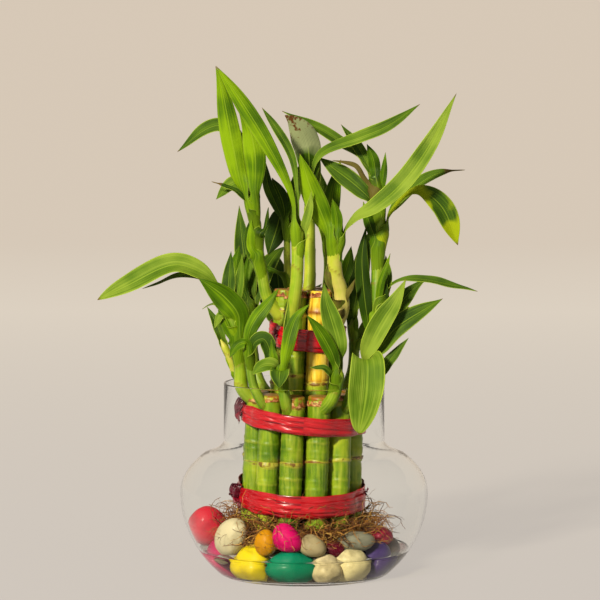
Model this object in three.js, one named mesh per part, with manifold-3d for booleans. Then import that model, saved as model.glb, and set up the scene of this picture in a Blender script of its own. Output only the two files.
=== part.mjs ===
// Lucky bamboo: two tiers of canes on coloured stones in a round glass bowl, tied with red ribbon.
// Millimetres, +Z up, -Y to the front. The origin is the centre of the bowl's flat foot.

import * as THREE from "three";
import { mergeVertices } from "three/addons/utils/BufferGeometryUtils.js";
import Module from "manifold-3d";

const wasm = await Module();
wasm.setup();

// Clearance between pieces that touch, and the most that a surface may move when it is simplified
const GAP = 0.3;
const SMOOTHING = 0.02;

// Glass bowl and water
const BOWL_RADIUS = 61;
const BOWL_WIDEST = 41;
const BOWL_LOWER_DEPTH = 54.5;
const BOWL_UPPER_DEPTH = 32;
const BOWL_SHOULDER = 60;
const NECK_RADIUS = 39.5;
const NECK_START = 67;
const RIM_HEIGHT = 95;
const FOOT_RADIUS = 38;
const BOWL_WALL = 1.4;
const BOWL_FLOOR = 1.8;
const FOOT_TURN = 2.4;
const FLOOR_ROUND = 1.2;
const FLOOR_CORNER = 4;
const FILLET_RISE = 3;
const LIP_ROUND = 0.5;
const BOWL_SIDES = 28;
const WATER_HEIGHT = 13.6;
const LOWER_STEPS = 5;
const UPPER_STEPS = 2;
const FILLET_STEPS = 2;

// Canes
const CANE_FOOT = 25;
const CANE_SIDES = 8;
const CANE_RING_RISE = 0.2;
const CANE_RING_HALF = 1.5;
const CANE_CUT_ROUND = 0.8;
const OUTER_COUNT = 12;
const OUTER_FIRST = 17;
const OUTER_RADIUS = 5.7;
const OUTER_TOP = 90;
const OUTER_RINGS = [56, 87];
const OUTER_SPREAD_FOOT = 24.75;
const OUTER_SPREAD_TOP = 23.9;
const INNER_COUNT = 6;
const INNER_FIRST = 28;
const INNER_RADIUS = 5.6;
const INNER_TOP = 141;
const INNER_RINGS = [97, 129];
const INNER_SPREAD = 11.7;
const LEAN_FOOT = -2;
const LEAN_TOP = 0.4;

// Leaves
const BLADE_THICKNESS = 0.8;
const BLADE_FOLD = 0.22;
const LONG_BLADE = 45;
const LONG_STATIONS = [0, 0.12, 0.34, 0.58, 0.8, 1];
const SHORT_STATIONS = [0, 0.15, 0.42, 0.74, 1];
const BLADE_ROUNDNESS = 0.75;
const BEND_DELAY = 1.6;
const ARCH_STEPS = 8;
const ARCHED_BELLY = 0.4;
const STEM_SIDES = 5;

// Ribbons
const RIBBON_THICKNESS = 1.2;
const RIBBON_SIDES = 28;
const KNOT_SIZE = [6, 3.8];
const RIBBON_END = { turn: 82, rise: -15, end: -60, length: 12, width: 6, facing: 80, belly: 0.5 };

// Stones
const STONE_LEAN = 4;
const DROP_START = 40;
const DROP_STEP = 0.25;
const HOLE_CLEARANCE = 1.36;

// Roots
const ROOT_MAT_RADIUS = 33;
const ROOT_MAT_FOOT = 18.2;
const ROOT_MAT_TOP = 30;
const ROOT_MAT_ROUND = 3;
const ROOT_MAT_SIDES = 24;
const ROOT_STRANDS = 16;
const ROOT_STRAND_RADIUS = 0.8;
const ROOT_STRAND_INSET = 4;
const ROOT_STRAND_HEIGHT = [22, 27];
const ROOT_STRAND_REACH = [36, 41];
const ROOT_STRAND_RISE = [2, 11];
const ROOT_STRAND_TURNS = [3, 8];
const ROOT_SEED = 11;
const ROOT_CLEARANCE = 0.39;

// Waves round the edge of the root mat: depth as a part of its radius, count and phase
const MAT_WAVES = [[0.035, 7, 0], [0.02, 3, 1]];

const COLOURS = {
  glass: 0xdfe6e2,
  water: 0xd9dccb,
  cane: 0x7ca32b,
  dryCane: 0xd9b93a,
  ribbon: 0xc8101c,
  roots: 0x8a6238,
};

const turn = THREE.MathUtils.degToRad;

// A direction in plan: 0 is the front, 90 the right, 180 the back, -90 the left.
function planPoint(heading, radius, height) {
  const angle = turn(heading);
  return new THREE.Vector3(radius * Math.sin(angle), -radius * Math.cos(angle), height);
}

// A closed geometry as a solid, with its faces pointing out.
function solidOf(geometry) {
  const bare = geometry.index ? geometry.toNonIndexed() : geometry.clone();
  bare.deleteAttribute("normal");
  bare.deleteAttribute("uv");
  const merged = mergeVertices(bare, 1e-4);
  const places = merged.attributes.position.array;
  const corners = merged.index.array;
  const faces = [];
  for (let i = 0; i < corners.length; i += 3) {
    const [a, b, c] = corners.slice(i, i + 3);
    if (a !== b && b !== c && c !== a) faces.push(a, b, c);
  }
  if (signedVolume(places, faces) < 0) faces.reverse();
  const mesh = new wasm.Mesh({
    numProp: 3,
    vertProperties: new Float32Array(places),
    triVerts: new Uint32Array(faces),
  });
  return new wasm.Manifold(mesh);
}

function signedVolume(places, faces) {
  const at = (i) => new THREE.Vector3().fromArray(places, faces[i] * 3);
  let total = 0;
  for (let i = 0; i < faces.length; i += 3) {
    total += at(i).dot(at(i + 1).cross(at(i + 2)));
  }
  return total / 6;
}

// The largest body of a solid: loose scraps go, and sealed hollows are filled.
function whole(solid) {
  const bodies = solid.decompose();
  return bodies.reduce((best, body) => (body.volume() > best.volume() ? body : best));
}

function joined(solids) {
  return whole(solids.reduce((all, next) => all.add(next))).simplify(SMOOTHING);
}

function geometryOf(solid) {
  const mesh = solid.getMesh();
  const geometry = new THREE.BufferGeometry();
  geometry.setAttribute("position", new THREE.Float32BufferAttribute(mesh.vertProperties, 3));
  geometry.setIndex(new THREE.Uint32BufferAttribute(mesh.triVerts, 1));
  geometry.computeVertexNormals();
  return geometry;
}

// A turned shape about the Z axis from a profile of [radius, height] points.
function turned(profile, sides) {
  const points = profile.map(([radius, height]) => new THREE.Vector2(radius, height));
  return new THREE.LatheGeometry(points, sides).rotateX(Math.PI / 2);
}

function tube(points, radius, sides, steps) {
  const path = new THREE.CatmullRomCurve3(points.map((point) => new THREE.Vector3(...point)));
  const section = new THREE.Shape();
  for (let i = 0; i < sides; i += 1) {
    const angle = (2 * Math.PI * i) / sides;
    const corner = [radius * Math.cos(angle), radius * Math.sin(angle)];
    if (i === 0) section.moveTo(...corner);
    else section.lineTo(...corner);
  }
  return new THREE.ExtrudeGeometry(section, { steps, extrudePath: path, bevelEnabled: false });
}

// Glass bowl: half an ellipse below the widest line, a shoulder, a short straight neck and a rim.
function bowlCurve(inset, floor) {
  const profile = [];
  const lowerRadius = BOWL_RADIUS - inset;
  const lowerDepth = BOWL_LOWER_DEPTH - inset;
  const first = Math.max(floor, FOOT_TURN);
  for (let i = 0; i <= LOWER_STEPS; i += 1) {
    const height = first + ((BOWL_WIDEST - first) * i) / LOWER_STEPS;
    const part = (BOWL_WIDEST - height) / lowerDepth;
    profile.push([lowerRadius * Math.sqrt(1 - part * part), height]);
  }
  for (let i = 1; i <= UPPER_STEPS; i += 1) {
    const height = BOWL_WIDEST + ((BOWL_SHOULDER - BOWL_WIDEST) * i) / UPPER_STEPS;
    const part = (height - BOWL_WIDEST) / (BOWL_UPPER_DEPTH - inset);
    profile.push([lowerRadius * Math.sqrt(1 - part * part), height]);
  }
  const [shoulder] = profile[profile.length - 1];
  const fillet = new THREE.QuadraticBezierCurve(
    new THREE.Vector2(shoulder, BOWL_SHOULDER),
    new THREE.Vector2(NECK_RADIUS - inset, BOWL_SHOULDER + FILLET_RISE),
    new THREE.Vector2(NECK_RADIUS - inset, NECK_START),
  );
  fillet.getPoints(FILLET_STEPS).slice(1).forEach((point) => profile.push([point.x, point.y]));
  return profile;
}

function bowlSolid() {
  const outer = bowlCurve(0, 0);
  const inner = bowlCurve(BOWL_WALL, BOWL_FLOOR + FLOOR_ROUND);
  const lip = [
    [NECK_RADIUS, RIM_HEIGHT - LIP_ROUND],
    [NECK_RADIUS - LIP_ROUND, RIM_HEIGHT],
    [NECK_RADIUS - BOWL_WALL + LIP_ROUND, RIM_HEIGHT],
    [NECK_RADIUS - BOWL_WALL, RIM_HEIGHT - LIP_ROUND],
  ];
  const floorEdge = inner[0][0] - FLOOR_CORNER;
  return solidOf(turned([
    [0, 0],
    [FOOT_RADIUS, 0],
    ...outer,
    ...lip,
    ...inner.reverse(),
    [floorEdge, BOWL_FLOOR],
    [0, BOWL_FLOOR],
  ], BOWL_SIDES));
}

// Canes stand side by side, and the bundle leans a little to the right and closes in a little.
function bundleAxis(height) {
  const part = (height - CANE_FOOT) / (OUTER_TOP - CANE_FOOT);
  return LEAN_FOOT + (LEAN_TOP - LEAN_FOOT) * part;
}

function canePlace(heading, spreadFoot, spreadTop, top) {
  const foot = planPoint(heading, spreadFoot, CANE_FOOT);
  const head = planPoint(heading, spreadTop, top);
  foot.x += bundleAxis(CANE_FOOT);
  head.x += bundleAxis(top);
  return { foot, head };
}

function caneShape(radius, rings, length, grow) {
  const profile = [[0, -grow], [radius + grow, -grow]];
  rings.forEach((ring) => {
    const height = ring - CANE_FOOT;
    profile.push([radius + grow, height - CANE_RING_HALF]);
    profile.push([radius + grow + CANE_RING_RISE, height]);
  });
  profile.push([radius + grow, length - CANE_CUT_ROUND]);
  profile.push([radius + grow - CANE_CUT_ROUND, length + grow]);
  profile.push([0, length + grow]);
  return turned(profile, CANE_SIDES);
}

function caneSolid(cane, grow = 0) {
  const { foot, head } = cane.place;
  const along = head.clone().sub(foot);
  const shape = caneShape(cane.radius, cane.rings, along.length(), grow);
  const lean = new THREE.Quaternion().setFromUnitVectors(
    new THREE.Vector3(0, 0, 1),
    along.normalize(),
  );
  shape.applyQuaternion(lean);
  shape.translate(foot.x, foot.y, foot.z);
  return solidOf(shape);
}

const canes = [];
for (let i = 0; i < OUTER_COUNT; i += 1) {
  const heading = OUTER_FIRST + (360 / OUTER_COUNT) * i;
  const place = canePlace(heading, OUTER_SPREAD_FOOT, OUTER_SPREAD_TOP, OUTER_TOP);
  canes.push({ name: `outer_cane_${i + 1}`, place, radius: OUTER_RADIUS, rings: OUTER_RINGS });
}
canes.push({
  name: "inner_cane_centre",
  place: canePlace(0, 0, 0, INNER_TOP),
  radius: INNER_RADIUS,
  rings: INNER_RINGS,
});
for (let i = 0; i < INNER_COUNT; i += 1) {
  const place = canePlace(INNER_FIRST + 60 * i, INNER_SPREAD, INNER_SPREAD, INNER_TOP);
  canes.push({ name: `inner_cane_${i + 1}`, place, radius: INNER_RADIUS, rings: INNER_RINGS });
}

// Shoots and leaves. A leaf starts inside its stem, at a part of the stem's length. Facing 0 turns its upper
// side up, and 90 turns it to the front. Belly says where along the blade it is widest.
// A leaf that shows from the front is given by the points of its midrib.
function leaf(at, width, facing, belly, points) {
  return { at, width, facing, belly, points };
}

// A leaf at the back leaves along a heading and bends from its rise to its end angle.
function arched(at, width, facing, heading, rise, end, length) {
  return { at, width, facing, belly: ARCHED_BELLY, arch: { heading, rise, end, length } };
}

const SHOOTS = [
  {
    name: "tall left shoot",
    cane: "inner_cane_5",
    radius: 2.8,
    stem: [
      [-11, -1, 127], [-18, -4, 137], [-20.3, -5, 147], [-22.4, -6, 160], [-24.4, -7, 180], [-25.5, -7, 188],
    ],
    leaves: [
      leaf(0.88, 10.4, 80, 0.5, [[-29.8, -9, 190], [-34.6, -9, 211], [-40, -9, 239], [-43, -9, 250]]),
      leaf(0.9, 10.8, 80, 0.55, [[-24, -10, 190], [-23.7, -11, 205], [-26.4, -11, 219], [-31.7, -11, 228]]),
      leaf(0.95, 8, 55, 0.6, [
        [-31, -4, 209], [-35, -3, 218], [-41, -2, 221], [-48, -2, 219], [-62, -2, 208],
      ]),
      leaf(0.92, 8, 55, 0.5, [[-31, -5, 193], [-37, -5, 191], [-43, -5, 185]]),
      leaf(0.86, 3.5, 40, 0.5, [[-30.7, -10, 187.5], [-38.6, -12, 192], [-45, -12, 194]]),
      leaf(0.7, 2.2, 70, 0.5, [[-19.5, -9, 170], [-17.3, -9, 181.5]]),
    ],
  },
  {
    name: "front left centre shoot",
    cane: "inner_cane_6",
    radius: 3,
    stem: [[-6.5, -11, 123], [-5, -18.5, 135], [-3.4, -21, 150], [-3.2, -21, 174]],
    leaves: [
      leaf(0.9, 8.2, 75, 0.66, [
        [-6.8, -23, 190], [-17.6, -23, 212.5], [-32, -22, 235.5], [-42.5, -21, 250],
      ]),
      leaf(0.95, 4.5, 70, 0.72, [[-3.5, -20, 190], [-5.9, -19, 206], [-14.2, -18, 221], [-20.5, -17, 230]]),
    ],
  },
  {
    name: "centre shoot",
    cane: "inner_cane_centre",
    radius: 2.7,
    stem: [[2, 0, 134], [2.8, 0, 146], [2.8, 1, 165], [2.6, 1, 190]],
    leaves: [
      leaf(0.94, 14, 70, 0.5, [
        [2, 0, 203], [1, -1, 213], [-2.5, -3, 221], [-8, -5, 221.5], [-11, -6, 213],
      ]),
      leaf(0.92, 7, 60, 0.62, [
        [5, 0, 202], [9, -1, 208], [27.3, -3, 215], [39.5, -4, 220], [56.6, -4, 231.5],
      ]),
      arched(0.8, 7, 40, 150, 75, 60, 30),
    ],
  },
  {
    name: "thick pale shoot",
    cane: "inner_cane_2",
    radius: 3.6,
    stem: [
      [14, -3, 122], [18, -8, 131], [17.8, -9.5, 140], [15.4, -11.5, 148], [14.7, -13, 158], [16, -14, 168],
    ],
    leaves: [
      leaf(0.9, 11, 80, 0.48, [[11.5, -16, 171], [7.8, -17, 180], [3.4, -17, 190], [-2.2, -17, 208]]),
      leaf(0.94, 5.5, 75, 0.5, [[16, -17, 176], [13.7, -18, 186]]),
      leaf(0.93, 9.8, 65, 0.5, [
        [22, -15, 175], [33, -17, 181], [47, -18, 193], [59.5, -19, 210], [73.5, -19, 237],
      ]),
      arched(0.85, 8, 60, 170, 85, 78, 22),
    ],
  },
  {
    name: "thin back shoot",
    cane: "inner_cane_4",
    radius: 1.7,
    stem: [[-6, 12, 128], [-8, 18.5, 139], [-8.3, 20, 152], [-8.5, 20, 175]],
    leaves: [
      leaf(0.97, 11, 85, 0.5, [[-11, 22, 177], [-14, 23, 168], [-18, 23, 156]]),
      leaf(0.95, 7.5, 80, 0.5, [[-11, 19, 184], [-16, 19, 195]]),
      leaf(0.9, 5.5, 75, 0.55, [[-14, 17, 182], [-18, 16, 192], [-19, 15, 203]]),
      leaf(0.45, 5.5, 75, 0.6, [[-16, 17, 149], [-24, 16, 154], [-27.3, 16, 165], [-26.4, 16, 175.5]]),
      arched(0.9, 7, 65, 120, 78, 60, 40),
    ],
  },
  {
    name: "back right inner shoot",
    cane: "inner_cane_3",
    radius: 2.2,
    stem: [[8, 12, 128], [11, 18, 139], [12, 20, 152], [11, 21, 165]],
    leaves: [
      leaf(0.4, 6.5, 75, 0.5, [[18, 20, 143], [21.5, 20, 151], [23.5, 20, 161]]),
      arched(0.95, 9, 60, 60, 84, 70, 42),
      arched(0.9, 9, 60, -160, 80, 62, 40),
    ],
  },
  {
    name: "tall right shoot",
    cane: "outer_cane_3",
    radius: 3.1,
    stem: [
      [23, -5, 80], [30, -7, 89], [33, -7, 100], [35, -5, 122], [36, -2, 150], [37.1, 0, 172],
      [35.4, 2, 190], [34, 3, 200],
    ],
    leaves: [
      leaf(0.93, 7.5, 40, 0.5, [[32, 5, 200], [28, 6, 206], [20, 7, 211], [10, 8, 217.5], [-11, 8, 228]]),
      leaf(0.94, 5.6, 70, 0.5, [[31, 4, 202], [27.3, 5, 209], [18, 6, 221.5]]),
      leaf(0.84, 9.5, 80, 0.5, [[29.3, 2, 188], [22.4, 4, 194], [15, 5, 199.5], [7, 6, 205.5]]),
      leaf(0.9, 2.6, 70, 0.5, [[29.3, -1, 195.5], [25, -1, 201.5], [13.7, 0, 204]]),
      leaf(0.86, 3.6, 80, 0.5, [[38.6, 0, 195], [39.8, 0, 208]]),
      leaf(0.93, 6, 75, 0.5, [[34, 1, 204], [30.7, 1, 212]]),
      leaf(0.74, 11.5, 60, 0.7, [
        [43.4, -3, 180], [49.5, -4, 187], [56, -4, 189.3], [67, -4, 181.5], [75.2, -4, 162.5],
      ]),
      leaf(0.76, 7, 40, 0.55, [
        [46, 1, 183], [52, 2, 189], [63.4, 3, 196.5], [70, 3, 198.5], [79, 3, 199.2],
      ]),
      leaf(0.48, 6, 35, 0.55, [[44.5, -4, 144.5], [52, -4, 146.3], [71, -4, 143.3], [85, -4, 140]]),
      leaf(0.25, 7.5, 75, 0.55, [[30.3, -7, 131], [28.5, -6, 148], [28.3, -5, 158], [30.3, -4, 172]]),
      leaf(0.68, 5.5, 75, 0.5, [[31.7, -3, 174], [28.8, -3, 184]]),
      leaf(0.4, 3.8, 75, 0.5, [[37.5, -8, 144], [40, -8, 152], [42, -8, 159]]),
      leaf(0.33, 4.2, 75, 0.5, [[39, -6, 136], [39.3, -5, 151]]),
      arched(0.45, 8, 60, 120, 66, 98, 26),
    ],
  },
  {
    name: "right front shoot",
    cane: "outer_cane_2",
    radius: 2.8,
    stem: [[18, -16, 80], [22, -22, 88], [24, -23, 96], [28, -26, 107]],
    leaves: [
      leaf(0.9, 10.6, 75, 0.45, [[33.6, -28, 120], [38.3, -28, 128.5], [43.2, -28, 136], [49.2, -28, 148]]),
      leaf(0.95, 10.8, 60, 0.5, [[35.5, -24, 112.5], [43.7, -24, 123], [58, -24, 132.5], [67, -24, 138]]),
      leaf(0.8, 5.5, 60, 0.5, [[31, -24.5, 101], [37, -24, 102], [41, -24, 107.5], [50.5, -24, 119]]),
      leaf(0.95, 17.5, 30, 0.45, [
        [29.5, -32, 110], [30.3, -36, 107], [30, -38.5, 96], [28.6, -38, 85], [26.2, -36.5, 73.5],
      ]),
    ],
  },
  {
    name: "front right shoot",
    cane: "outer_cane_1",
    radius: 2.9,
    stem: [[7, -23, 82], [12.5, -29, 88], [15.5, -30.5, 95], [17, -31, 106]],
    leaves: [
      leaf(0.8, 7, 80, 0.5, [[14, -34, 111], [10, -35, 119], [5.8, -36, 125.5], [1, -36.5, 131]]),
      leaf(0.93, 10, 80, 0.45, [[16.3, -31, 116], [13.4, -30, 127], [10.5, -29, 137], [9.6, -28, 146]]),
      leaf(0.7, 3.2, 60, 0.5, [[10, -34, 105], [2.4, -35, 105.5]]),
    ],
  },
  {
    name: "front left shoot",
    cane: "outer_cane_12",
    radius: 2.6,
    stem: [[-6, -23, 80], [-9, -29, 88], [-10, -30, 95], [-11, -31, 103]],
    leaves: [
      leaf(0.9, 8, 50, 0.5, [[-15, -34, 106], [-20, -35, 106], [-25, -35, 102]]),
      leaf(0.92, 3.8, 75, 0.5, [[-14.5, -32, 110], [-15.8, -31, 119]]),
      leaf(0.93, 6.8, 75, 0.5, [[-8.2, -34, 114.5], [-6.2, -33, 123], [-3.4, -32, 130], [2.8, -31, 136]]),
      leaf(0.94, 3.4, 80, 0.5, [[-8.6, -29, 121.5], [-7.4, -28, 137]]),
      leaf(0.9, 9.5, 30, 0.5, [[-11.5, -36, 104], [-12, -39.5, 101], [-12, -41, 96]]),
    ],
  },
  {
    name: "left inner shoot",
    cane: "outer_cane_11",
    radius: 2.2,
    stem: [[-15, -17, 80], [-21.5, -21.5, 88.5], [-25, -22, 97], [-27, -23, 113]],
    leaves: [
      leaf(0.93, 6, 50, 0.5, [[-28, -26, 117], [-32, -26.5, 116], [-36, -27, 109.5]]),
      leaf(0.94, 7, 75, 0.5, [[-26.5, -25, 121], [-23, -25, 128.5], [-18.2, -24, 134.5], [-12, -23, 143]]),
      leaf(0.9, 8, 50, 0.5, [
        [-23.5, -26, 117], [-19.5, -27, 118.5], [-16.5, -27.5, 112], [-18.5, -28, 104.5],
      ]),
    ],
  },
  {
    name: "left spray",
    cane: "outer_cane_10",
    radius: 3.2,
    stem: [
      [-22, -6, 84], [-30, -9, 92], [-31, -10, 104], [-32.5, -11, 118], [-34.6, -12, 125], [-39, -12, 133],
    ],
    leaves: [
      leaf(0.93, 12.5, 50, 0.6, [
        [-43, -13, 144.5], [-51, -14, 150.3], [-63, -14, 153.6], [-87, -14, 143], [-100.6, -14, 136.5],
      ]),
      leaf(0.94, 4.5, 30, 0.5, [[-42, -9, 140], [-49, -8, 146], [-58, -8, 148.2], [-79, -8, 141.6]]),
      leaf(0.65, 12.6, 70, 0.5, [
        [-32, -16, 129.5], [-38, -17, 137.5], [-44.4, -17.5, 142.7], [-51.5, -17.5, 147.5],
      ]),
      leaf(0.6, 7, 70, 0.5, [[-37, -15, 125], [-42, -14, 136]]),
      leaf(0.8, 4.6, 50, 0.5, [[-40, -15, 129], [-43.6, -16, 122.8]]),
      arched(0.95, 7, 60, 160, 80, 76, 30),
      arched(0.85, 5.5, 60, 130, 76, 84, 34),
    ],
  },
  {
    name: "left low shoot",
    cane: "outer_cane_9",
    radius: 1.8,
    stem: [[-23, 5, 81], [-29, 6, 91], [-34, 4, 99], [-37, 2, 108], [-41, 1, 116]],
    leaves: [
      arched(0.9, 5, 50, -120, 70, 50, 22),
    ],
  },
  {
    name: "right low shoot",
    cane: "outer_cane_4",
    radius: 2.4,
    stem: [[22, 7, 84], [29, 9, 91], [33, 9, 99], [36, 10, 113]],
    leaves: [
      arched(0.95, 11, 45, 110, 64, 30, 44),
      arched(0.9, 9, 60, 50, 80, 66, 32),
      arched(0.8, 10, 30, 150, 50, 0, 40),
    ],
  },
  {
    name: "back shoot",
    cane: "outer_cane_7",
    radius: 2.4,
    stem: [[-6, 22, 85], [-8, 28.5, 92], [-10, 32, 99], [-11, 35, 118]],
    leaves: [
      arched(0.95, 11, 30, -170, 72, 20, 54),
      arched(0.9, 10, 50, -110, 70, 50, 40),
      arched(0.8, 10, 40, 130, 60, 30, 40),
    ],
  },
  {
    name: "back left shoot",
    cane: "outer_cane_8",
    radius: 2.6,
    stem: [[-16, 16, 85], [-21, 21, 91], [-24, 24, 98], [-26, 26, 116], [-26, 28, 133]],
    leaves: [
      leaf(0.93, 7.5, 70, 0.5, [[-31.5, 27, 140], [-34, 27, 149], [-32.2, 27, 161]]),
      leaf(0.95, 3.2, 70, 0.5, [[-29.5, 26, 140], [-29, 25, 148], [-27, 24, 158.5]]),
      arched(0.95, 10, 60, -150, 70, 84, 52),
      arched(0.9, 10, 45, 150, 62, 10, 48),
      arched(0.7, 10, 30, -140, 40, -30, 44),
    ],
  },
  {
    name: "back right shoot",
    cane: "outer_cane_5",
    radius: 2.6,
    stem: [[16, 16, 85], [21, 21, 91], [24, 24, 98], [25, 27, 112], [24, 29, 124]],
    leaves: [
      arched(0.95, 10, 60, 150, 74, 60, 50),
      arched(0.9, 9, 50, -160, 68, 40, 44),
      arched(0.75, 9, 30, 125, 40, -20, 46),
    ],
  },
];

// The points of an arch: it bends slowly at first and faster towards its end.
function archPoints(base, { heading, rise, end, length }) {
  const forward = planPoint(heading, 1, 0);
  const point = base.clone();
  const points = [];
  const stride = length / ARCH_STEPS;
  for (let i = 0; i < ARCH_STEPS; i += 1) {
    const part = (i + 0.5) / ARCH_STEPS;
    const angle = turn(rise + (end - rise) * part ** BEND_DELAY);
    point.addScaledVector(forward, Math.cos(angle) * stride);
    point.z += Math.sin(angle) * stride;
    points.push(point.clone());
  }
  return points;
}

function bladeGeometry(base, shape) {
  const points = shape.arch
    ? archPoints(base, shape.arch)
    : shape.points.map((point) => new THREE.Vector3(...point));
  const midrib = new THREE.CatmullRomCurve3([base, ...points]);
  const facing = turn(shape.facing);
  const face = new THREE.Vector3(0, -Math.sin(facing), Math.cos(facing));
  const stations = midrib.getLength() > LONG_BLADE ? LONG_STATIONS : SHORT_STATIONS;
  const skew = Math.log(0.5) / Math.log(shape.belly);
  const rings = stations.map((part) => {
    const along = midrib.getTangentAt(part);
    const across = along.clone().cross(face).normalize();
    const up = across.clone().cross(along);
    const swell = Math.max(0, Math.sin(Math.PI * part ** skew));
    const half = (shape.width / 2) * swell ** BLADE_ROUNDNESS;
    return bladeSection(midrib.getPointAt(part), across, up, half);
  });
  return loft(rings, base, points[points.length - 1]);
}

function bladeSection(middle, across, up, half) {
  const lift = half * BLADE_FOLD;
  const skin = BLADE_THICKNESS / 2;
  const corners = [
    [half, lift - skin],
    [half, lift + skin],
    [0, skin],
    [-half, lift + skin],
    [-half, lift - skin],
    [0, -skin],
  ];
  return corners.map(([right, top]) => (
    middle.clone().addScaledVector(across, right).addScaledVector(up, top)
  ));
}

// A skin over rings of points, closed to a point at each end.
function loft(rings, start, tip) {
  const inside = rings.slice(1, -1);
  const count = inside[0].length;
  const places = [start, ...inside.flat(), tip];
  const faces = [];
  const last = places.length - 1;
  for (let j = 0; j < count; j += 1) {
    const next = (j + 1) % count;
    faces.push(0, 1 + next, 1 + j);
    for (let k = 0; k < inside.length - 1; k += 1) {
      const here = 1 + k * count;
      const there = here + count;
      faces.push(here + j, here + next, there + next);
      faces.push(here + j, there + next, there + j);
    }
    const end = 1 + (inside.length - 1) * count;
    faces.push(end + j, end + next, last);
  }
  const geometry = new THREE.BufferGeometry().setFromPoints(places);
  geometry.setIndex(faces);
  return geometry;
}

function shootSolids(shoot) {
  const path = new THREE.CatmullRomCurve3(shoot.stem.map((point) => new THREE.Vector3(...point)));
  const steps = shoot.stem.length + 1;
  const stem = solidOf(tube(shoot.stem, shoot.radius, STEM_SIDES, steps));
  const blades = shoot.leaves.map((shape) => (
    solidOf(bladeGeometry(path.getPointAt(shape.at), shape))
  ));
  return [stem, ...blades];
}

// Ribbon: a band drawn round the canes, tilted, with a knot and two short ends at one side.
const RIBBONS = [
  {
    name: "ribbon_outer_upper",
    height: 78.6,
    band: 9,
    reach: OUTER_SPREAD_TOP + OUTER_RADIUS + 1.3,
    tiltFront: 4,
    tiltRight: 6,
    knot: -84,
  },
  {
    name: "ribbon_outer_lower",
    height: 41,
    band: 11.4,
    reach: OUTER_SPREAD_FOOT + OUTER_RADIUS + 1.3,
    tiltFront: 7,
    tiltRight: 2,
    knot: -76,
  },
  {
    name: "ribbon_inner",
    height: 118,
    band: 11,
    reach: INNER_SPREAD + INNER_RADIUS + 0.7,
    tiltFront: 4,
    tiltRight: 5,
    knot: 150,
  },
];

function ribbonSolid(ribbon) {
  const half = ribbon.band / 2;
  const outer = ribbon.reach + RIBBON_THICKNESS;
  const ring = turned([
    [ribbon.reach, -half],
    [outer, -half],
    [outer, half],
    [ribbon.reach, half],
    [ribbon.reach, -half],
  ], RIBBON_SIDES);
  const knot = new THREE.IcosahedronGeometry(0.5, 1).scale(...KNOT_SIZE, ribbon.band);
  knot.rotateZ(turn(ribbon.knot));
  const place = planPoint(ribbon.knot, outer + KNOT_SIZE[1] / 4, 0);
  knot.translate(place.x, place.y, 0);
  const ends = [-1, 1].map((way) => {
    const arch = { ...RIBBON_END, heading: ribbon.knot + RIBBON_END.turn * way };
    return solidOf(bladeGeometry(place, { ...RIBBON_END, arch }));
  });
  const solid = joined([solidOf(ring), solidOf(knot), ...ends]);
  return solid
    .rotate([ribbon.tiltFront, ribbon.tiltRight, 0])
    .translate([bundleAxis(ribbon.height), 0, ribbon.height]);
}

// Stones: size in millimetres, the turn in plan and the place in plan. Each is lowered until it
// lies on the floor of the bowl or on the stones below it.
function stone(name, colour, size, heading, place) {
  return { name, colour, size, heading, place };
}

const STONES = [
  stone("teal", 0x1f8a8c, [23, 15, 15], 4, [-6, -36]),
  stone("yellow", 0xe3b51c, [17, 14, 16], -40, [-25, -27.5]),
  stone("magenta_left", 0xb32a72, [13, 18, 15], 8, [-37, -6]),
  stone("orange", 0xd2762a, [13, 12, 13], 100, [-36, 10.5]),
  stone("beige_front", 0xcbb68f, [10, 12, 12], 5, [10.5, -37]),
  stone("cream_right", 0xe9e2cd, [15.5, 13, 13.5], 35, [22.5, -30]),
  stone("purple", 0x6b3f86, [15, 13, 15], 60, [34.5, -18]),
  stone("amber", 0xb9823a, [13, 11, 12], 85, [41, -2]),
  stone("pink_right", 0xa81c48, [14, 14, 13], 110, [37, 13]),
  stone("white", 0xe8e4da, [16, 14, 14], 140, [27, 27]),
  stone("green", 0x3f7a4a, [15, 14, 13], 170, [12, 37]),
  stone("grey", 0x8b877f, [16, 13, 14], 10, [-5, 37]),
  stone("blue", 0x2f5f9c, [15, 14, 14], 25, [-20, 31]),
  stone("magenta_back", 0xb32a72, [14, 14, 13], 60, [-31, 22]),
  stone("mid_one", 0xbfa97f, [17, 14, 13], 15, [-14, -14]),
  stone("mid_two", 0x9c8f7c, [16, 13, 13], 20, [3, -20]),
  stone("mid_three", 0xd8cdb0, [16, 13, 13], 40, [18.5, -12]),
  stone("mid_four", 0x7a6a55, [16, 14, 13], 100, [24, 3]),
  stone("mid_five", 0xc8b48c, [16, 14, 13], 130, [12, 20]),
  stone("mid_six", 0xa79a80, [16, 14, 13], 160, [-8, 20]),
  stone("mid_seven", 0xd2c3a0, [16, 14, 13], 20, [-22, 3]),
  stone("mid_eight", 0x8f8268, [15, 13, 13], 0, [0, 2]),
  stone("cream_left", 0xe6dcc0, [16, 12, 17], -55, [-35.5, -20.5]),
  stone("red", 0xc21f2e, [11, 14, 18], 90, [-47.5, -1]),
  stone("maroon_top", 0x5a1f2a, [10, 9, 7], 10, [13.5, -31]),
  stone("mustard_top", 0xc79a2a, [8, 9, 11], 60, [-18.5, -34]),
  stone("pink_top", 0xc93a7c, [13, 11, 12], 0, [-8, -38]),
  stone("beige_top", 0xc9b68e, [10.5, 10, 10], 0, [4.2, -37.5]),
  stone("grey_top", 0xb9ad98, [17, 11, 8], 20, [25, -26]),
  stone("red_top", 0xa81c28, [11, 10, 8], 150, [37, -10]),
  stone("gold_top", 0xd6a62a, [10, 9, 7], 45, [-42, 9]),
];

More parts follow.
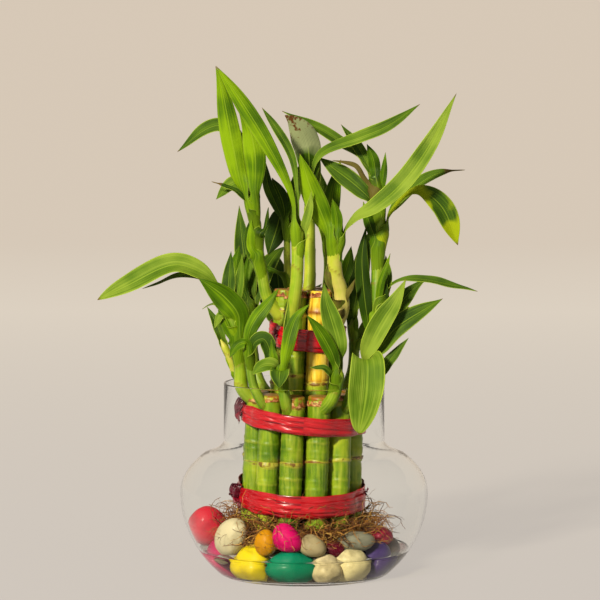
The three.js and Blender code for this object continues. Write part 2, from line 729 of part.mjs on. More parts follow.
function stoneSolid({ size, heading, place, name }) {
  const shape = new THREE.IcosahedronGeometry(1, 1);
  shape.scale(size[0] / 2, size[1] / 2, size[2] / 2);
  const lean = (name.length % 3) - 1;
  shape.rotateY(turn(STONE_LEAN * lean));
  shape.rotateZ(turn(heading));
  shape.translate(place[0], place[1], 0);
  return solidOf(shape);
}

function boxesMeet(one, other, margin) {
  const a = one.boundingBox();
  const b = other.boundingBox();
  return [0, 1, 2].every((i) => a.min[i] < b.max[i] + margin && b.min[i] < a.max[i] + margin);
}

function lowered(solid, obstacles) {
  const free = (height) => {
    const moved = solid.translate([0, 0, height]);
    return obstacles.every((other) => (
      !boxesMeet(moved, other, GAP) || moved.minGap(other, 2 * GAP) >= GAP
    ));
  };
  let height = DROP_START;
  while (height > 0 && free(height - DROP_STEP)) height -= DROP_STEP;
  return solid.translate([0, 0, height]);
}

// A seeded source of numbers between two limits.
function drawFrom(start) {
  let seed = start;
  return ([low, high] = [0, 1]) => {
    seed = (seed * 16807) % 2147483647;
    return low + ((high - low) * seed) / 2147483647;
  };
}

// Roots: a matted pad that the canes stand in, with loose strands round its edge.
function rootSolid(caneSolids, stones) {
  const pad = turned([
    [0, ROOT_MAT_FOOT],
    [ROOT_MAT_RADIUS - ROOT_MAT_ROUND, ROOT_MAT_FOOT],
    [ROOT_MAT_RADIUS, ROOT_MAT_FOOT + ROOT_MAT_ROUND],
    [ROOT_MAT_RADIUS, ROOT_MAT_TOP - ROOT_MAT_ROUND],
    [ROOT_MAT_RADIUS - ROOT_MAT_ROUND, ROOT_MAT_TOP],
    [0, ROOT_MAT_TOP],
  ], ROOT_MAT_SIDES);
  const places = pad.attributes.position;
  for (let i = 0; i < places.count; i += 1) {
    const angle = Math.atan2(places.getY(i), places.getX(i));
    const swell = MAT_WAVES.reduce((sum, [depth, count, phase]) => (
      sum + depth * Math.sin(count * angle + phase)
    ), 1);
    places.setXY(i, places.getX(i) * swell + LEAN_FOOT, places.getY(i) * swell);
  }
  const draw = drawFrom(ROOT_SEED);
  const strands = [];
  for (let i = 0; i < ROOT_STRANDS; i += 1) {
    const heading = (360 * (i + draw())) / ROOT_STRANDS;
    const height = draw(ROOT_STRAND_HEIGHT);
    const [bend, sweep] = ROOT_STRAND_TURNS;
    const route = [
      planPoint(heading, ROOT_MAT_RADIUS - ROOT_STRAND_INSET, height),
      planPoint(heading + bend, ROOT_MAT_RADIUS + 2 * ROOT_STRAND_RADIUS, height + ROOT_STRAND_RADIUS),
      planPoint(heading + sweep, draw(ROOT_STRAND_REACH), height + draw(ROOT_STRAND_RISE)),
    ].map((point) => [point.x + LEAN_FOOT, point.y, point.z]);
    strands.push(solidOf(tube(route, ROOT_STRAND_RADIUS, 3, 3)));
  }
  const mat = [solidOf(pad), ...strands].reduce((all, next) => all.add(next));
  const filled = [...caneSolids, ...stones.map(grown)];
  return whole(filled.reduce((rest, one) => rest.subtract(one), mat)).simplify(SMOOTHING);
}

function waterSolid(stones) {
  const body = bowlCurve(BOWL_WALL + GAP, BOWL_FLOOR + FLOOR_ROUND)
    .filter(([, height]) => height < WATER_HEIGHT);
  const part = (BOWL_WIDEST - WATER_HEIGHT) / (BOWL_LOWER_DEPTH - BOWL_WALL - GAP);
  const edge = (BOWL_RADIUS - BOWL_WALL - GAP) * Math.sqrt(1 - part * part);
  const profile = [
    [0, BOWL_FLOOR + GAP],
    [body[0][0] - FLOOR_CORNER - GAP, BOWL_FLOOR + GAP],
    ...body,
    [edge, WATER_HEIGHT],
    [0, WATER_HEIGHT],
  ];
  const full = solidOf(turned(profile, BOWL_SIDES));
  const wet = stones.filter((one) => one.boundingBox().min[2] < WATER_HEIGHT);
  return whole(wet.reduce((rest, one) => rest.subtract(plainHole(one)), full)).simplify(SMOOTHING);
}

// A stone made a little larger all round, for the hollow that it presses into the roots.
function grown(solid) {
  const { min, max } = solid.boundingBox();
  const middle = min.map((low, i) => (low + max[i]) / 2);
  const scale = min.map((low, i) => 1 + (2 * ROOT_CLEARANCE) / (max[i] - low));
  return solid
    .translate(middle.map((value) => -value))
    .scale(scale)
    .translate(middle);
}

// The plain hole that a stone stands in: twenty faces, set clear of the stone all round.
function plainHole(solid) {
  const { min, max } = solid.boundingBox();
  const hole = new THREE.IcosahedronGeometry(HOLE_CLEARANCE, 0);
  hole.scale(...min.map((low, i) => (max[i] - low) / 2 + GAP));
  hole.translate(...min.map((low, i) => (low + max[i]) / 2));
  return solidOf(hole);
}

const plant = new THREE.Group();

function addPiece(name, solid, colour, roughness, metalness = 0, look = {}) {
  const material = new THREE.MeshStandardMaterial({ color: colour, roughness, metalness, ...look });
  const mesh = new THREE.Mesh(geometryOf(solid), material);
  mesh.name = name;
  plant.add(mesh);
}

const bowl = bowlSolid();
addPiece("glass_bowl", bowl, COLOURS.glass, 0.05, 0, { transparent: true, opacity: 0.3 });

const placed = [];
STONES.forEach((one) => {
  const solid = lowered(stoneSolid(one), [bowl, ...placed]);
  placed.push(solid);
  addPiece(`pebble_${one.name}`, solid, one.colour, 0.35);
});

addPiece("water", waterSolid(placed), COLOURS.water, 0.02, 0, { transparent: true, opacity: 0.3 });

canes.forEach((cane) => {
  const grownFrom = SHOOTS.filter((shoot) => shoot.cane === cane.name);
  const pieces = [caneSolid(cane), ...grownFrom.flatMap(shootSolids)];
  const colour = cane.name === "inner_cane_1" ? COLOURS.dryCane : COLOURS.cane;
  addPiece(cane.name, joined(pieces), colour, 0.45);
});

const holes = canes.map((cane) => caneSolid(cane, GAP));
addPiece("roots", rootSolid(holes, placed), COLOURS.roots, 0.9);

RIBBONS.forEach((ribbon) => {
  addPiece(ribbon.name, ribbonSolid(ribbon), COLOURS.ribbon, 0.3);
});

export default plant;
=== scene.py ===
"""Two-tier lucky bamboo on coloured stones in a round glass bowl, tied with red ribbon.

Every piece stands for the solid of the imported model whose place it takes. Shapes are worked out in
millimetres and made metres when a piece is finished.
"""

import math
import random

import bmesh
import bpy
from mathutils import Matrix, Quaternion, Vector, noise


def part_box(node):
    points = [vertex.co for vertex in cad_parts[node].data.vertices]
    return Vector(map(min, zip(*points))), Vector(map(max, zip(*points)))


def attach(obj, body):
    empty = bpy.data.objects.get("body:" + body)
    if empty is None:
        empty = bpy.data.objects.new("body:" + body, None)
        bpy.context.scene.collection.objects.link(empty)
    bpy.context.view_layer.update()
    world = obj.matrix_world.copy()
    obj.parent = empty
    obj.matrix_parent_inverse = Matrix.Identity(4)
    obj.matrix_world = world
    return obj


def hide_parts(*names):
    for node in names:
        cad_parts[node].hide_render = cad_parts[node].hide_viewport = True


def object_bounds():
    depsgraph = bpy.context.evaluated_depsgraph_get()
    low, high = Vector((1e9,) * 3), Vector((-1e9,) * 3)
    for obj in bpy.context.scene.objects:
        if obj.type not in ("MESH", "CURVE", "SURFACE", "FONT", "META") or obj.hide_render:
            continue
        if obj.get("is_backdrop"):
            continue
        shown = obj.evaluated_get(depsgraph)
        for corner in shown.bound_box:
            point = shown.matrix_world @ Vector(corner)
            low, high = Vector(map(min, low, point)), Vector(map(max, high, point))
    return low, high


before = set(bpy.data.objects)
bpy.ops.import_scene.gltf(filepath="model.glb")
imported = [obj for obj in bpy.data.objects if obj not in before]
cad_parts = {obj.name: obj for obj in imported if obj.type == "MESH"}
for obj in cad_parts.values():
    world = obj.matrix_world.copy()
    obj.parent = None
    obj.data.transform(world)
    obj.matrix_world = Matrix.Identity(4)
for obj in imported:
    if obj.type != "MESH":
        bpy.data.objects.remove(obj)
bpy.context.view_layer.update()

# Camera: a long lens a little above the leaves' middle, looking slightly down from the front.
EYE = Vector((-0.002, -1.5, 0.244))
AIM = Vector((-0.002, 0.0, 0.1355))
LENS = 184
SENSOR = 36

camera_data = bpy.data.cameras.new("camera")
camera_data.lens = LENS
camera_data.sensor_width = SENSOR
camera = bpy.data.objects.new("camera", camera_data)
camera.location = EYE
camera.rotation_euler = (AIM - EYE).to_track_quat("-Z", "Y").to_euler()
bpy.context.scene.collection.objects.link(camera)
bpy.context.scene.camera = camera
bpy.context.scene.view_settings.view_transform = "Standard"


# Glass bowl: one piece of clear blown soda-lime glass, a squashed ball with a short straight neck.
# The wall is 1 mm, the rim is fire-polished and the foot is flat, so only edges catch the light.
MM = 0.001
BOWL_RADIUS = 61
BOWL_WIDEST = 41
BOWL_LOWER_DEPTH = 54.5
BOWL_UPPER_DEPTH = 32
BOWL_SHOULDER = 60
NECK_RADIUS = 39.5
NECK_START = 67
RIM_HEIGHT = 95
FOOT_RADIUS = 38
BOWL_WALL = 1.0
BOWL_FLOOR = 1.8
FOOT_TURN = 2.4
FLOOR_ROUND = 1.2
FLOOR_CORNER = 4
FILLET_RISE = 3
BOWL_STEPS = 128
CURVE_STEPS = 20
NECK_STEPS = 10
LIP_STEPS = 10
GLASS_IOR = 1.3


def linear(colour):
    """An sRGB hex colour as linear red, green, blue and alpha."""
    parts = [int(colour[i:i + 2], 16) / 255 for i in (0, 2, 4)]
    return (*[c / 12.92 if c <= 0.04045 else ((c + 0.055) / 1.055) ** 2.4 for c in parts], 1.0)


# The output that a node gives by itself: a mixed colour, a layer's value or the place on the object.
# Every other kind gives its first one.
MAIN_OUTPUT = {"ShaderNodeMix": 2, "ShaderNodeAttribute": 2, "ShaderNodeTexCoord": 3}


def add(tree, kind, feeds=None, stops=(), **settings):
    """Adds a node. feeds gives each input a value, a hex colour, another node or a node's output."""
    node = tree.nodes.new(f"ShaderNode{kind}")
    for name, value in settings.items():
        setattr(node, name, value)
    for name, value in (feeds or {}).items():
        if isinstance(value, bpy.types.Node):
            value = value.outputs[MAIN_OUTPUT.get(value.bl_idname, 0)]
        if isinstance(value, bpy.types.NodeSocket):
            tree.links.new(value, node.inputs[name])
        else:
            node.inputs[name].default_value = linear(value) if isinstance(value, str) else value
    for number, (place, colour) in enumerate(stops):
        while len(node.color_ramp.elements) <= number:
            node.color_ramp.elements.new(1.0)
        node.color_ramp.elements[number].position = place
        node.color_ramp.elements[number].color = linear(colour)
    return node


def blank_material(name):
    material = bpy.data.materials.new(name)
    material.use_nodes = True
    material.node_tree.nodes.clear()
    return material, material.node_tree


def clear_material(name, ior, body, shadow):
    """A clear body that mirrors weakly. Light to the stones passes it with the shadow's slight loss."""
    material, tree = blank_material(name)
    clear = add(tree, "BsdfPrincipled", {"Base Color": body, "Roughness": 0.0, "IOR": ior,
                                         "Specular Tint": "303030", "Transmission Weight": 1.0})
    shade = add(tree, "BsdfTransparent", {"Color": shadow})
    ray = add(tree, "LightPath").outputs["Is Shadow Ray"]
    both = add(tree, "MixShader", {0: ray, 1: clear, 2: shade})
    add(tree, "OutputMaterial", {"Surface": both})
    return material


def spun(shape, profile, steps):
    """Turns a profile of (radius, height) points about the Z axis."""
    points = [shape.verts.new((radius, 0, height)) for radius, height in profile]
    edges = [shape.edges.new(pair) for pair in zip(points, points[1:])]
    bmesh.ops.spin(shape, geom=points + edges, cent=(0, 0, 0), axis=(0, 0, 1), dvec=(0, 0, 0),
                   angle=2 * math.pi, steps=steps, use_merge=True, use_duplicate=False)
    bmesh.ops.remove_doubles(shape, verts=shape.verts, dist=1e-4)
    bmesh.ops.recalc_face_normals(shape, faces=shape.faces)


def finished(name, shape, materials, slot, *nodes):
    """Makes a shape in millimetres a piece in metres that stands for its nodes."""
    bmesh.ops.scale(shape, vec=(MM, MM, MM), verts=shape.verts)
    for face in shape.faces:
        face.smooth = True
    mesh = bpy.data.meshes.new(name)
    shape.to_mesh(mesh)
    shape.free()
    for material in materials:
        mesh.materials.append(material)
    piece = bpy.data.objects.new(name, mesh)
    bpy.context.scene.collection.objects.link(piece)
    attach(piece, "root")
    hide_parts(*nodes)
    return piece


def ellipse(radius, depth, height):
    """The radius of half an ellipse at a height over or under its widest line."""
    return radius * math.sqrt(1 - ((height - BOWL_WIDEST) / depth) ** 2)


def bowl_side(inset, first):
    """The side of the bowl from a height up to the start of the neck."""
    radius = BOWL_RADIUS - inset
    neck = NECK_RADIUS - inset
    side = []
    for step in range(CURVE_STEPS + 1):
        height = first + (BOWL_WIDEST - first) * step / CURVE_STEPS
        side.append((ellipse(radius, BOWL_LOWER_DEPTH - inset, height), height))
    for step in range(1, NECK_STEPS + 1):
        height = BOWL_WIDEST + (BOWL_SHOULDER - BOWL_WIDEST) * step / NECK_STEPS
        side.append((ellipse(radius, BOWL_UPPER_DEPTH - inset, height), height))
    shoulder = side[-1][0]
    for step in range(1, NECK_STEPS + 1):
        t = step / NECK_STEPS
        across = shoulder * (1 - t) ** 2 + neck * 2 * t * (1 - t) + neck * t * t
        up = (BOWL_SHOULDER * (1 - t) ** 2 + (BOWL_SHOULDER + FILLET_RISE) * 2 * t * (1 - t)
              + NECK_START * t * t)
        side.append((across, up))
    return side


def arc(centre, radius, start, end, steps):
    """Points of an arc in the profile's plane, with its angles in degrees."""
    turns = [math.radians(start + (end - start) * i / steps) for i in range(steps + 1)]
    return [(centre[0] + radius * math.cos(a), centre[1] + radius * math.sin(a)) for a in turns]


outside = bowl_side(0, FOOT_TURN)
inside = bowl_side(BOWL_WALL, BOWL_FLOOR + FLOOR_ROUND)
foot_edge = [(FOOT_RADIUS, 0), (FOOT_RADIUS + 2, 0.35), (FOOT_RADIUS + 3.7, 1.2)]
lip = arc((NECK_RADIUS - BOWL_WALL / 2, RIM_HEIGHT - BOWL_WALL / 2), BOWL_WALL / 2, 0, 180, LIP_STEPS)
floor_turn = [(inside[0][0] - 1.4, BOWL_FLOOR + 0.45), (inside[0][0] - FLOOR_CORNER, BOWL_FLOOR)]
bowl_profile = [(0, 0), *foot_edge, *outside, *lip, *inside[::-1], *floor_turn, (0, BOWL_FLOOR)]
bowl_shape = bmesh.new()
spun(bowl_shape, bowl_profile, BOWL_STEPS)

# Blown glass: smooth and almost without colour.
glass = clear_material("blown_soda_lime_glass", GLASS_IOR, "FEFFFE", "FAFBFA")
clear_pieces = [finished("bowl_of_blown_glass", bowl_shape, [glass], "clear_glass", "glass_bowl")]


# Water: a shallow layer round the lower stones, still and faintly yellow from the roots.
# It turns up a little where it meets the glass, and wets it with no gap.
WATER_HEIGHT = 13.6
WATER_IOR = 1.33
WETTING = 0.1
MENISCUS = 0.7
MENISCUS_WIDTH = 2.5
MENISCUS_STEPS = 8

wall = BOWL_WALL - WETTING
body = [point for point in bowl_side(wall, BOWL_FLOOR + FLOOR_ROUND) if point[1] < WATER_HEIGHT]
edge = ellipse(BOWL_RADIUS - wall, BOWL_LOWER_DEPTH - wall, WATER_HEIGHT)
surface = [(edge - MENISCUS_WIDTH * part, WATER_HEIGHT - MENISCUS * (1 - (1 - part) ** 2))
           for part in [step / MENISCUS_STEPS for step in range(MENISCUS_STEPS + 1)]]
floor = BOWL_FLOOR - WETTING
water_profile = [(0, floor), (body[0][0] - FLOOR_CORNER, floor), *body,
                 *surface, (0, WATER_HEIGHT - MENISCUS)]
water_shape = bmesh.new()
spun(water_shape, water_profile, BOWL_STEPS)

# Still water: as clear as the glass, with a breath of yellow.
still_water = clear_material("still_water", WATER_IOR, "FBFAF2", "FBFAF2")
clear_pieces.append(finished("water_in_the_bowl", water_shape, [still_water], "clear_water", "water"))


# Stones: gravel 12 to 24 mm long, tumbled smooth, some natural and some dyed in strong colours.
# Each lies where its solid lies: its size is width, depth and height, and its heading turns it.
# Colour, colour of its patches, size in millimetres, heading in degrees and the record's slot. Where it
# isn't plain: how full its ends are, how much wider its foot is and how far its head leans to the right.
STONES = {
    "teal": ("007050", "00583E", (24, 15, 15.5), 4, "teal_stone", 1.3, 0.0, 0.0),
    "yellow": ("C6B204", "A89206", (20, 15, 17), -40, "yellow_stone", 2.3, 0.22, 0.1),
    "magenta_left": ("9C0446", "7A0438", (22, 22, 18), 8, "magenta_stone", 2.2, 0.1, 0.0),
    "orange": ("B07008", "8E5A08", (15, 14, 15), 100, "yellow_stone"),
    "beige_front": ("BEB088", "8E8260", (14, 12, 13), 5, "beige_stone", 2.2, 0.1, 0.0),
    "cream_right": ("C8BC8C", "A09466", (17, 14, 15), 35, "cream_stone", 2.35, -0.1, 0.0),
    # The purple is coloured as dark as it looks on its shaded side, darker than the stone itself: painted
    # shade.
    "purple": ("34205A", "281844", (17, 15, 16), 60, "purple_stone", 1.9, 0.0, 0.2),
    "amber": ("615446", "42382D", (15, 13, 14), 85, "brown_stone"),
    "pink_right": ("87113A", "6A0C2D", (14, 14, 13), 110, "magenta_stone"),
    "white": ("A7A393", "878275", (16, 14, 14), 140, "cream_stone", 2.2, 0.0, 0.1),
    "green": ("175838", "10422A", (15, 14, 13), 170, "teal_stone", 2.2, 0.1, 0.0),
    "grey": ("656159", "4A4741", (16, 13, 14), 10, "brown_stone", 2.2, 0.0, -0.1),
    "blue": ("223D70", "192F56", (15, 14, 14), 25, "purple_stone"),
    "magenta_back": ("8E144E", "6D0F38", (14, 14, 13), 60, "magenta_stone", 2.2, 0.1, 0.0),
    "mid_one": ("87754A", "655635", (17, 14, 13), 15, "beige_stone"),
    "mid_two": ("6F634F", "514737", (16, 13, 13), 20, "brown_stone"),
    "mid_three": ("A49977", "817758", (16, 13, 13), 40, "cream_stone"),
    "mid_four": ("544735", "3C3225", (16, 14, 13), 100, "brown_stone"),
    "mid_five": ("94825D", "726342", (16, 14, 13), 130, "beige_stone"),
    "mid_six": ("786D51", "584F3A", (16, 14, 13), 160, "beige_stone"),
    "mid_seven": ("9C8F6A", "786D4C", (16, 14, 13), 20, "cream_stone"),
    "mid_eight": ("665B47", "494132", (15, 13, 13), 0, "brown_stone"),
    "cream_left": ("BAB08C", "867E60", (20, 13, 19.5), -55, "cream_stone", 2.4, 0.0, 0.35),
    "red": ("AC0E24", "860A1C", (16, 21, 20), 90, "red_stone", 2.2, 0.15, -0.1),
    "maroon_top": ("58081E", "3A0514", (12, 10, 8.5), 10, "red_stone"),
    "mustard_top": ("B07806", "8E6004", (10, 11, 13), 60, "yellow_stone", 2.2, 0.1, 0.0),
    "pink_top": ("B80656", "96044A", (14.5, 12, 14), 0, "magenta_stone", 2.4, 0.2, -0.25),
    "beige_top": ("948763", "776B4A", (13, 12, 11), 0, "beige_stone", 2.2, 0.2, -0.2),
    "grey_top": ("777663", "595849", (19, 13, 10), 20, "beige_stone", 2.0, 0.0, 0.1),
    "red_top": ("87112B", "6A0C22", (13, 12, 9.5), 150, "red_stone"),
    "gold_top": ("A87C0B", "8A6308", (12, 11, 9), 45, "yellow_stone"),
}
PLAIN_FORM = (2.2, 0.0, 0.0)
STONE_DETAIL = 5
STONE_LUMPS = 0.05
STONE_INSET = 1.3
LUMP_SPACING = 1.1
FACE_COUNT = 5
FACE_DEPTH = 0.96
FACE_WEAR = 0.7
STONE_SEED = 100


def keep_inside(point, gap):
    """Moves a point inwards until it has the gap to the bowl's outside."""
    across = math.hypot(point.x, point.y)
    limit = ellipse(BOWL_RADIUS, BOWL_LOWER_DEPTH, min(point.z, BOWL_WIDEST)) - gap
    if across > limit:
        point.x *= limit / across
        point.y *= limit / across


def scatter(draw, reach):
    """A random step with each part up to a reach either way."""
    return Vector([draw.uniform(-reach, reach) for _ in range(3)])


def stone_shape(size, heading, full, foot, lean, centre, draw):
    """A tumbled stone: a ball with a few worn faces and low lumps, sized, turned and put in place."""
    shape = bmesh.new()
    bmesh.ops.create_icosphere(shape, subdivisions=STONE_DETAIL, radius=1)
    offset = scatter(draw, 50)
    worn = [Vector([draw.gauss(0, 1) for _ in range(3)]).normalized() for _ in range(FACE_COUNT)]
    for vert in shape.verts:
        x, y, z = vert.co
        thin = math.sqrt(max(1 - abs(x) ** full, 1e-4) / max(1 - x * x, 1e-4))
        wide = 1 - foot * z
        vert.co = Vector((x * wide, y * thin * wide, z * thin))
        for way in worn:
            over = vert.co.dot(way) - FACE_DEPTH
            if over > 0:
                vert.co -= way * over * FACE_WEAR
        vert.co *= 1 + STONE_LUMPS * noise.noise(vert.co / LUMP_SPACING + offset)
        vert.co.x += lean * vert.co.z * size[2] / size[0]
    for axis in range(3):
        reach = [vert.co[axis] for vert in shape.verts]
        middle, half = (max(reach) + min(reach)) / 2, (max(reach) - min(reach)) / 2
        for vert in shape.verts:
            vert.co[axis] = (vert.co[axis] - middle) / half * size[axis] / 2
    turn = Quaternion((0, 0, 1), math.radians(heading)).to_matrix()
    bmesh.ops.rotate(shape, cent=(0, 0, 0), matrix=turn, verts=shape.verts)
    bmesh.ops.translate(shape, vec=centre, verts=shape.verts)
    for vert in shape.verts:
        keep_inside(vert.co, STONE_INSET)
    return shape


def cells(size):
    """The scale of a noise whose cells are a size in millimetres."""
    return 1 / (size * MM)


def coated(tree, ground, *coats):
    """Lays coats of colour over a ground.

    A coat is what shows it, the value at which it starts, the value at which it is full, how
    strong it is then, and its colour.
    """
    for shows, start, full, strength, colour in coats:
        amount = add(tree, "MapRange", {0: shows, 1: start, 2: full, 4: strength})
        ground = add(tree, "Mix", {0: amount, 6: ground, 7: colour}, data_type="RGBA")
    return ground


def stone_material(name, colour, patches):
    """Tumbled gravel: dye or grain gathers in faint patches, fine pits dull it, and wet shines."""
    material, tree = blank_material(name)
    place = add(tree, "TexCoord")
    mottle = add(tree, "TexNoise", {"Vector": place, "Scale": cells(7.7), "Detail": 5.0,
                                    "Roughness": 0.6})
    pits = add(tree, "TexNoise", {"Vector": place, "Scale": cells(0.667), "Detail": 3.0})
    stained = coated(tree, colour, (mottle, 0.5, 0.66, 0.75, patches), (pits, 0.6, 0.72, 0.05, "D0C8B8"))
    bump = add(tree, "Bump", {"Height": pits, "Strength": 0.2, "Distance": 0.0003})
    rough = add(tree, "MapRange", {0: mottle, 1: 0.3, 2: 0.7, 3: 0.42, 4: 0.6})
    skin = add(tree, "BsdfPrincipled", {"Base Color": stained, "Roughness": rough, "IOR": 1.4,
                                        "Specular IOR Level": 0.15, "Coat Weight": 0.06,
                                        "Coat Roughness": 0.12, "Coat IOR": 1.33, "Normal": bump})
    add(tree, "OutputMaterial", {"Surface": skin})
    return material


for number, (name, (colour, patches, size, heading, slot, *form)) in enumerate(STONES.items()):
    low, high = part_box(f"pebble_{name}")
    centre = (low + high) / 2 / MM
    centre.z = low.z / MM + size[2] / 2
    draw = random.Random(STONE_SEED + number)
    shape = stone_shape(size, heading, *(form or PLAIN_FORM), centre, draw)
    look = stone_material(f"tumbled_gravel_{name}", colour, patches)
    finished(f"stone_{name}", shape, [look], slot, f"pebble_{name}")


# Canes: cut stalks of lucky bamboo, 11 mm thick and cut flat at the top, in a ring of 12 short ones
# round 7 tall ones. Each has raised leaf scars round it, dry brown scraps of old leaf at the top,
# and one tall cane has dried to yellow.
CANE_FOOT = 25
OUTER_COUNT = 12
OUTER_FIRST = 17
OUTER_RADIUS = 5.7
OUTER_TOP = 90
OUTER_SPREAD_FOOT = 24.75
OUTER_SPREAD_TOP = 23.9
INNER_COUNT = 6
INNER_FIRST = 28
INNER_RADIUS = 5.6
INNER_TOP = 141
INNER_SPREAD = 11.7
LEAN_FOOT = -2
LEAN_TOP = 0.4
CANE_STEPS = 26
CANE_ROW = 0.65
BARE_INSET = 0.25
FOOT_ROUND = 0.4
CUT_ROUND = 0.8
CUT_DEPTH = 0.6
SCAR_RISE = 0.5
SCAR_WIDTH = 0.55
SCAR_STAIN = 1.4
SCAR_WANDER = 2.8
GROOVE_DEPTH = 0.3
GROOVE_OFFSET = 1.3
NODE_SWELL = 0.22
NODE_WIDTH = 4
OUTER_SCARS = (56.5, 50.5, 45.5, 69, 63, 86, 35)
INNER_SCARS = (97, 91, 84, 112, 106, 129, 133)
STRONG_SCARS = (0, 5)
WAVY_SCARS = 3
BROWN_TOP = 9
SCRAP_SIDES = 40
SCRAP_RISE = 3.2
LOW_SCRAP_CHANCE = 0.45
LOW_SCRAP_RISE = 0.9
DRIED_FROM = 96.5
CANE_LAYERS = ("scar", "dry", "cut", "rise", "scrap", "age")


def plan_point(heading, radius, height=0.0):
    """A point at a heading in plan: 0 is the front, 90 the right and 180 the back."""
    angle = math.radians(heading)
    return Vector((radius * math.sin(angle), -radius * math.cos(angle), height))


def lean_at(height):
    return LEAN_FOOT + (LEAN_TOP - LEAN_FOOT) * (height - CANE_FOOT) / (OUTER_TOP - CANE_FOOT)


def bent_grid(shape, along, across, place, close=False):
    """A grid of along by across faces whose corners go to place(a, b), with a and b from 0 to 1.

    Its UV map holds a and b. A closed grid joins its long edges and its ends.
    """
    maps = shape.loops.layers.uv
    uv = maps.get("UVMap") or maps.new("UVMap")
    made = bmesh.ops.create_grid(shape, x_segments=along, y_segments=across, size=0.5)
    corners = made["verts"]
    spots = {vert: (vert.co.x + 0.5, vert.co.y + 0.5) for vert in corners}
    faces = {face for vert in corners for face in vert.link_faces}
    for face in faces:
        for loop in face.loops:
            loop[uv].uv = spots[loop.vert]
    for vert, (a, b) in spots.items():
        vert.co = place(a, b)
    if close:
        bmesh.ops.remove_doubles(shape, verts=corners, dist=1e-5)
        rims = {edge for face in faces if face.is_valid for edge in face.edges if edge.is_boundary}
        bmesh.ops.holes_fill(shape, edges=list(rims), sides=0)
    return spots

def kept_values(shape, *names):
    """Layers that hold a value for every corner of a shape, for its material."""
    return {name: shape.verts.layers.float.new(name) for name in names}


def cane_shape(heading, spread_foot, spread_top, radius, top, scars, dried, seed):
    """One cane: a turned stalk with scars and swollen nodes, leaned into its place."""
    draw = random.Random(seed)
    marks = []
    for number, height in enumerate(scars):
        strength = draw.uniform(0.85, 1.0) if number in STRONG_SCARS else draw.uniform(0.15, 0.5)
        marks.append((height + draw.uniform(-SCAR_WANDER, SCAR_WANDER), strength))

    def nearness(height, width):
        """How near a height is to a scar, from 0 to 1, less at a faint one."""
        return max(strength * math.exp(-((height - mark) / width) ** 2) for mark, strength in marks)

    length = top - CANE_FOOT
    rows = round(length / CANE_ROW)
    profile = [(0, 0), (radius * 0.8, 0)]
    for row in range(rows + 1):
        height = FOOT_ROUND + (length - CUT_ROUND - FOOT_ROUND) * row / rows
        swell = 0.0
        for mark, strength in marks:
            away = height + CANE_FOOT - mark
            swell += strength * (SCAR_RISE * math.exp(-(away / SCAR_WIDTH) ** 2)
                                 - GROOVE_DEPTH * math.exp(-((away - GROOVE_OFFSET) / SCAR_WIDTH) ** 2)
                                 + NODE_SWELL * math.exp(-(away / NODE_WIDTH) ** 2))
        profile.append((radius - BARE_INSET + swell, height))
    profile += [(radius - 0.5, length - 0.25), (radius - 1.1, length), (radius * 0.5, length - 0.15),
                (0, length - 0.3)]
    shape = bmesh.new()
    spun(shape, profile, CANE_STEPS)
    layers = kept_values(shape, *CANE_LAYERS)
    phase = draw.uniform(0, 6)
    age = draw.uniform(0, 1)
    for vert in shape.verts:
        height = vert.co.z + CANE_FOOT
        around = math.atan2(vert.co.y, vert.co.x)
        inward = 1 - math.hypot(vert.co.x, vert.co.y) / radius
        vert[layers["scar"]] = nearness(height, SCAR_STAIN)
        vert[layers["dry"]] = float(dried and height > DRIED_FROM)
        vert[layers["cut"]] = float(height > top - CUT_DEPTH and inward > 0.1)
        vert[layers["rise"]] = max(0.0, 1 - (top - height) / BROWN_TOP)
        vert[layers["age"]] = age
        wander = 0.7 * math.sin(around + phase) + 0.3 * math.sin(3 * around + phase * 2)
        bulge = 1 + 0.015 * math.sin(2 * around + phase) + 0.008 * math.sin(5 * around + phase * 2)
        vert.co.x *= bulge
        vert.co.y *= bulge
        vert.co.z += 0.8 * wander * nearness(height, WAVY_SCARS) * (height < top - 2)
    collars = [(length - draw.uniform(2.5, 5.5), draw.uniform(0.5, 1.0) * SCRAP_RISE)]
    if draw.random() < LOW_SCRAP_CHANCE:
        collars.append((marks[0][0] - CANE_FOOT - 0.2, LOW_SCRAP_RISE))
    for foot_height, tall in collars:
        ragged = [draw.uniform(0.15, 1.0) for _ in range(SCRAP_SIDES)]
        slope = draw.uniform(0, 6)

        def scrap_place(a, b):
            side = round(a * SCRAP_SIDES) % SCRAP_SIDES
            angle = 2 * math.pi * a
            out = radius + 0.05 + 0.5 * b * ragged[side - 3] + 0.25 * (1 - b)
            height = foot_height + 0.9 * math.sin(angle + slope) + ragged[side] * tall * b
            return Vector((out * math.cos(angle), out * math.sin(angle), height))

        for vert in bent_grid(shape, SCRAP_SIDES, 2, scrap_place):
            vert[layers["scrap"]] = 1.0
            vert[layers["age"]] = age
    foot = plan_point(heading, spread_foot, CANE_FOOT) + Vector((lean_at(CANE_FOOT), 0, 0))
    head = plan_point(heading, spread_top, top) + Vector((lean_at(top), 0, 0))
    lean = Vector((0, 0, 1)).rotation_difference(head - foot).to_matrix()
    bmesh.ops.rotate(shape, cent=(0, 0, 0), matrix=lean, verts=shape.verts)
    bmesh.ops.translate(shape, vec=foot, verts=shape.verts)
    return shape


